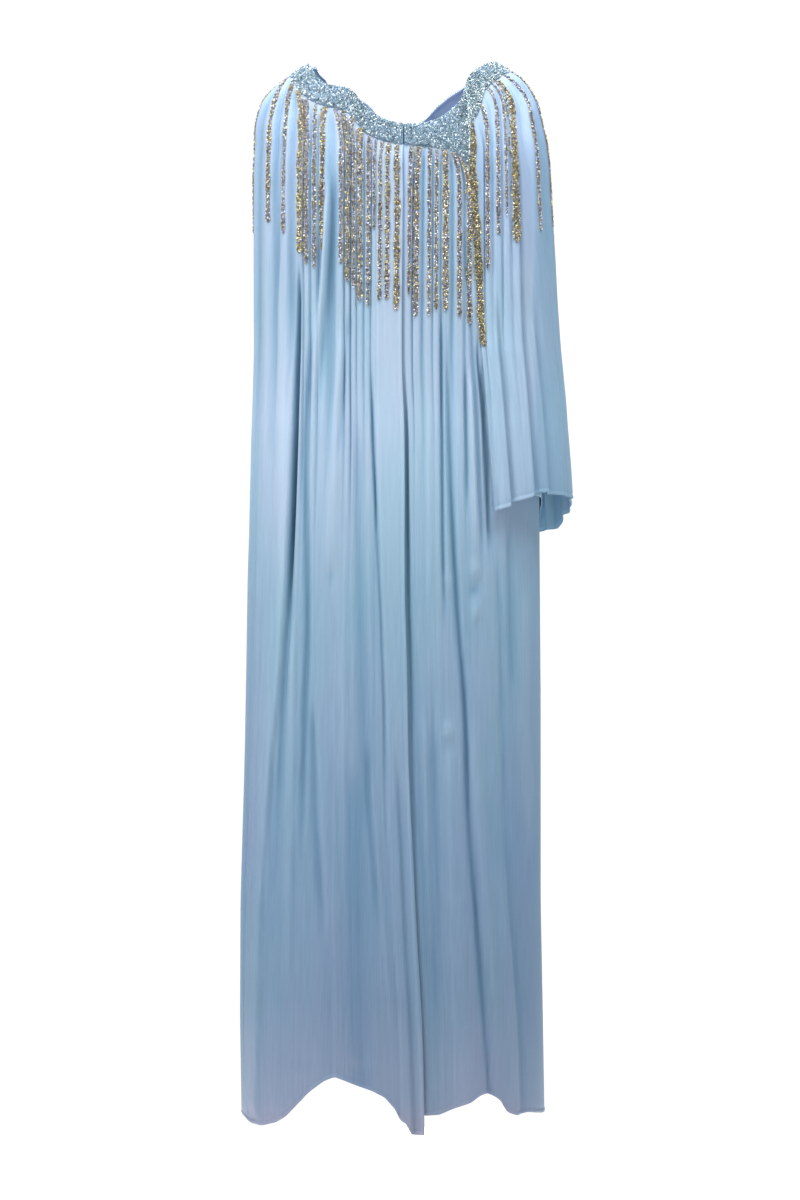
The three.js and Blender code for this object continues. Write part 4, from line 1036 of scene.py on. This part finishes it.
# Strews beads at the given places: (point, size, tone)
def strewBeads(name, places, material, seed):
    dice = random.Random(seed)
    points, faces, tones = [], [], []
    for centre, size, tone in places:
        first = len(points)
        shape = dice.choice(beadTurns)
        points += [(centre + corner * size) * mm for corner in shape]
        faces += [(a + first, b + first, c + first) for a, b, c in beadFaces]
        tones += [(*tone, 1)] * len(shape)
    mesh = bpy.data.meshes.new(name)
    mesh.from_pydata(points, [], faces)
    layer = mesh.color_attributes.new("tone", "FLOAT_COLOR", "POINT")
    layer.data.foreach_set("color", [value for tone in tones for value in tone])
    mesh.materials.append(material)
    strewn = bpy.data.objects.new(name, mesh)
    bpy.context.scene.collection.objects.link(strewn)
    print(name, "sewn on,", len(places), "beads")
    return strewn


def surfaceFrame(point, low, z, topZ):
    across = point(low + 0.4, z, topZ) - point(low - 0.4, z, topZ)
    down = point(low, z - 2, topZ) - point(low, z + 2, topZ)
    normal = down.cross(across).normalized()
    return across / 0.8, normal


# The first row of the right sleeve keeps beside its raglan seam
def rowLow(panel, low, z):
    if panel is not sleeveRight or low != panel["gathers"][0][1]:
        return low
    first = panel["start"][1]
    return first + (low - first) * min(1, 1 / max(0.1, low - read(raglanSeam, z)))


# The rows of one panel: two to five beads across, ragged at the sides, narrowing to the end
def rowPlaces(panel, point):
    dice = random.Random(panel["seed"] * 7)
    places = []
    for top, gatherLow, endZ, width, gold in panel["gathers"]:
        topZ = bandAt(top, 1)
        z = topZ - 2
        while z > endZ:
            left = z - endZ
            low = rowLow(panel, gatherLow, z)
            across, normal = surfaceFrame(point, low, z, topZ)
            reach = width / 2 * min(1, 0.28 + 0.72 * left / beads["taper"])
            reach *= 0.92 + 0.16 * math.sin(z * 0.11 + low)
            count = max(1, round(2 * reach / beads["rowPitch"]))
            for step in range(count):
                if dice.random() < beads["missing"]:
                    continue
                aside = ((step + 0.5) / count * 2 - 1) * reach
                aside += dice.uniform(-beads["aside"], beads["aside"])
                degrees = aside / max(across.length, 0.3)
                along = dice.uniform(-beads["along"], beads["along"])
                spot = point(low + degrees, z + along, topZ)
                size = beads["rowSize"] * dice.uniform(*beads["rowSizes"])
                isGold = dice.random() < gold * (0.85 + 0.3 * (step == 0))
                tone = Vector(dice.choice(beads["gold" if isGold else "lilac"]))
                # A gold above 1 darkens the beads: painted shade
                tone *= dice.uniform(*beads["rowTones"]) / max(1, gold)
                places.append((spot + normal * (0.35 * size + dice.uniform(0, 0.3)), size, tone))
            z -= beads["rowPitch"] * dice.uniform(0.9, 1.1)
    return places


# The thread worked under each row, seen between its beads, dark as painted shade between them
def rowTapes(panel, point):
    tapes = []
    for top, gatherLow, endZ, width, gold in panel["gathers"]:
        topZ = bandAt(top, 1)
        steps = round((topZ - endZ) / 6)

        def where(column, row):
            z = topZ - 1 + (endZ - topZ + 2) * row / steps
            low = rowLow(panel, gatherLow, z)
            across, normal = surfaceFrame(point, low, z, topZ)
            reach = width * 0.3 * min(1, 0.7 + (steps - row) / 2.5)
            aside = (column - 1.5) / 1.5 * reach / max(across.length, 0.3)
            lift = 0.55 if column in (1, 2) else 0.3
            return point(low + aside, z, topZ) + normal * lift, 0

        tape = layCloth("rowTape", 4, steps + 1, where)
        thicken(tape, 0.25, [rowThreadAndShade])
        tapes.append(tape)
    return tapes


def sewRows(name, panel, point, node):
    strewn = strewBeads(name, rowPlaces(panel, point), rowBeadFinish, panel["seed"])
    tapes = rowTapes(panel, point)
    deselectAll()
    for piece in (*tapes, strewn):
        piece.select_set(True)
    bpy.context.view_layer.objects.active = strewn
    bpy.ops.object.join()
    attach(strewn, "root")
    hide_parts(node)
    return strewn


rowPieces = [
    sewRows("leftFrontBeadRows", frontLeft, frontLeftPoint, "bead_rows_front_left"),
    sewRows("rightFrontBeadRows", frontRight, frontRightPoint, "bead_rows_front_right"),
    sewRows("backBeadRows", backPanel, backPoint, "bead_rows_back"),
    sewRows("rightSleeveBeadRows", sleeveRight,
            lambda low, z, topZ: sleevePoint(sleeveRight, low, z, topZ), "bead_rows_sleeve_right"),
    sewRows("leftSleeveBeadRows", sleeveLeft,
            lambda low, z, topZ: sleevePoint(sleeveLeft, low, z, topZ), "bead_rows_sleeve_left")]

# The neck band, and its parts with their first and last degree
band = {"proud": 1.1, "wall": 2.2, "across": 12, "pitch": 2.6, "tuckDepth": 3,
        "flats": [(0.2, 0.036), (0.215, 0.042), (0.4, 0.036)]}
bandParts = [
    ("leftNeckBand", "neck_band_front_left", -90, 0.6, 21),
    ("rightNeckBand", "neck_band_front_right", 1.15, 90, 22),   # tucked in behind the slit
    ("backNeckBand", "neck_band_back", 90, 270, 23)]


def bandPoint(lowAngle, share, relief=0):
    lowZ, topAngle, topZ = (bandAt(lowAngle, column) for column in (1, 2, 3))
    angle = topAngle + (lowAngle - topAngle) * share
    rounded = ease(min(share, 1 - share) * 7 + 0.25)
    return onForm(angle, topZ + (lowZ - topZ) * share, band["proud"] * rounded + relief)


def bandAngles(start, end):
    angles = [start]
    while angles[-1] < end:
        here = bandPoint(angles[-1], 0.5)
        ahead = (bandPoint(angles[-1] + 0.5, 0.5) - here).length / 0.5
        ahead = max(ahead, (bandPoint(angles[-1] + 0.5, 0.9) - bandPoint(angles[-1], 0.9)).length)
        angles.append(angles[-1] + band["pitch"] / max(ahead, 0.6))
    angles[-1] = end
    return angles


def bandBeadPlaces(angles, seed):
    dice = random.Random(seed)
    places = []
    angle, end = angles[0] + 0.2, angles[-1]
    column = 0
    while angle < end:
        wide = (bandPoint(angle, 1) - bandPoint(angle, 0)).length
        count = round(wide / beads["bandPitch"])
        for step in range(count):
            offset = 0.5 if column % 2 else 0.1
            share = clamp01((step + offset) / count + dice.gauss(0, 0.25) / wide)
            size = beads["bandSize"] * dice.uniform(*beads["bandSizes"])
            tone = Vector(dice.choice(beads["ice"])) * dice.uniform(*beads["bandTones"])
            spot = bandPoint(angle + dice.uniform(-0.06, 0.06), share, 0.3 * size)
            places.append((spot, size, tone))
        ahead = (bandPoint(angle + 0.3, 0.75) - bandPoint(angle, 0.75)).length / 0.3
        angle += beads["bandPitch"] * dice.uniform(0.92, 1.04) / max(ahead, 0.6)
        column += 1
    return places


for name, node, start, end, seed in bandParts:
    angles = bandAngles(start, end)
    tuck = [0.1, 0.7, 1.1] if name == "rightNeckBand" else []
    columns = tuck + angles

    # The band's satin gets a light painted shade, and its part tucked behind the slit a deep
    # painted shade
    def where(column, row):
        sunk = column < len(tuck)
        return (bandPoint(columns[column], row / band["across"], -band["tuckDepth"] * sunk),
                -13 if sunk else -2.5)

    strip = layCloth(name, len(columns), band["across"] + 1, where)
    clothUv(strip)
    thicken(strip, band["wall"], [satin, satinReverse])
    beading = strewBeads(name + "Beads", bandBeadPlaces(angles, seed), bandBeadFinish, seed)
    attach(strip, "root")
    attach(beading, "root")
    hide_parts(node)

# The studio, in metres
studio = {"floorZ": -1.62, "span": 3.6, "paper": 1.05, "glow": 0.27, "shine": 0.3}


def makeFloor():
    deselectAll()
    bpy.ops.mesh.primitive_grid_add(x_subdivisions=8, y_subdivisions=8, size=1)
    floor = bpy.context.object
    floor.name = "paleFloor"
    for vertex in floor.data.vertices:
        vertex.co = (vertex.co.x * studio["span"], vertex.co.y * studio["span"], studio["floorZ"])
    material, tree, shader, coords = newMaterial("paleFloor")
    grain = addNode(tree, "ShaderNodeTexNoise", (-500, 0), Scale=3, Detail=2)
    ramp = addRamp(tree, (-300, 0), [(0, (0.86, 0.865, 0.87)), (1, (0.9, 0.9, 0.9))])
    wire(tree, (coords, "Object", grain, "Vector"), (grain, 0, ramp, 0),
         (ramp, 0, shader, "Base Color"))
    setInputs(shader, Roughness=0.7, Emission_Color=(1, 1, 1, 1),
              Emission_Strength=studio["shine"])
    floor.data.materials.append(material)
    return floor


def addLight(name, place, aim, size, power, tone=(1, 1, 1)):
    bpy.ops.object.light_add(type="AREA", location=place)
    light = bpy.context.object
    light.name = name
    light.data.shape = "RECTANGLE"
    light.data.size, light.data.size_y = size
    light.data.energy = power
    light.data.color = tone
    light.visible_camera = False
    light.rotation_euler = (Vector(aim) - Vector(place)).to_track_quat("-Z", "Y").to_euler()
    return light


makeFloor()
addLight("keyLight", (-3.4, -3.0, 0.9), (0, 0, -0.6), (1.2, 2.0), 66)
addLight("fillLight", (2.6, -3.4, 0.0), (0, 0, -0.7), (1.8, 2.6), 7, (0.95, 0.97, 1))
addLight("topLight", (0, -0.6, 2.4), (0, 0, -0.5), (2.4, 1.6), 14)
addLight("overheadLight", (0, -1.0, 2.6), (0, 1.5, -0.4), (5, 0.8), 260)
addLight("backLight", (0, 4.0, 1.9), (0, 0, -0.8), (2.6, 1.2), 190)
addLight("leftLight", (-4, 0.3, 0.1), (0, 0, -0.6), (1.6, 2.4), 24)
addLight("rightLight", (4, 0.3, -0.3), (0, 0, -0.8), (1.6, 2.4), 17)


# White paper all round, which lights the cloth less than it shows
def makeWorld():
    world = bpy.data.worlds.new("studioWorld")
    world.use_nodes = True
    tree = world.node_tree
    glow = tree.nodes["Background"]
    setInputs(glow, Color=(0.9, 0.93, 1, 1), Strength=studio["glow"])
    paper = addNode(tree, "ShaderNodeBackground", (0, -200), Color=(1, 1, 1, 1),
                    Strength=studio["paper"])
    path = addNode(tree, "ShaderNodeLightPath", (-200, 200))
    chosen = addNode(tree, "ShaderNodeMixShader", (200, 0))
    wire(tree, (path, "Is Camera Ray", chosen, 0), (glow, 0, chosen, 1), (paper, 0, chosen, 2),
         (chosen, 0, tree.nodes["World Output"], "Surface"))
    return world


bpy.context.scene.world = makeWorld()
bpy.context.scene.view_settings.view_transform = "Standard"

# A long lens, level with the middle of the garment; 1.68 m of height fills the frame
lens = {"distance": 10, "height": -0.749, "tall": 1.68, "sensor": 36}
bpy.ops.object.camera_add(location=(0, -lens["distance"], lens["height"]),
                          rotation=(math.radians(90), 0, 0))
camera = bpy.context.object
camera.data.sensor_width = lens["sensor"]
camera.data.lens = lens["sensor"] * lens["distance"] / lens["tall"]
bpy.context.scene.camera = camera
print("studio set")
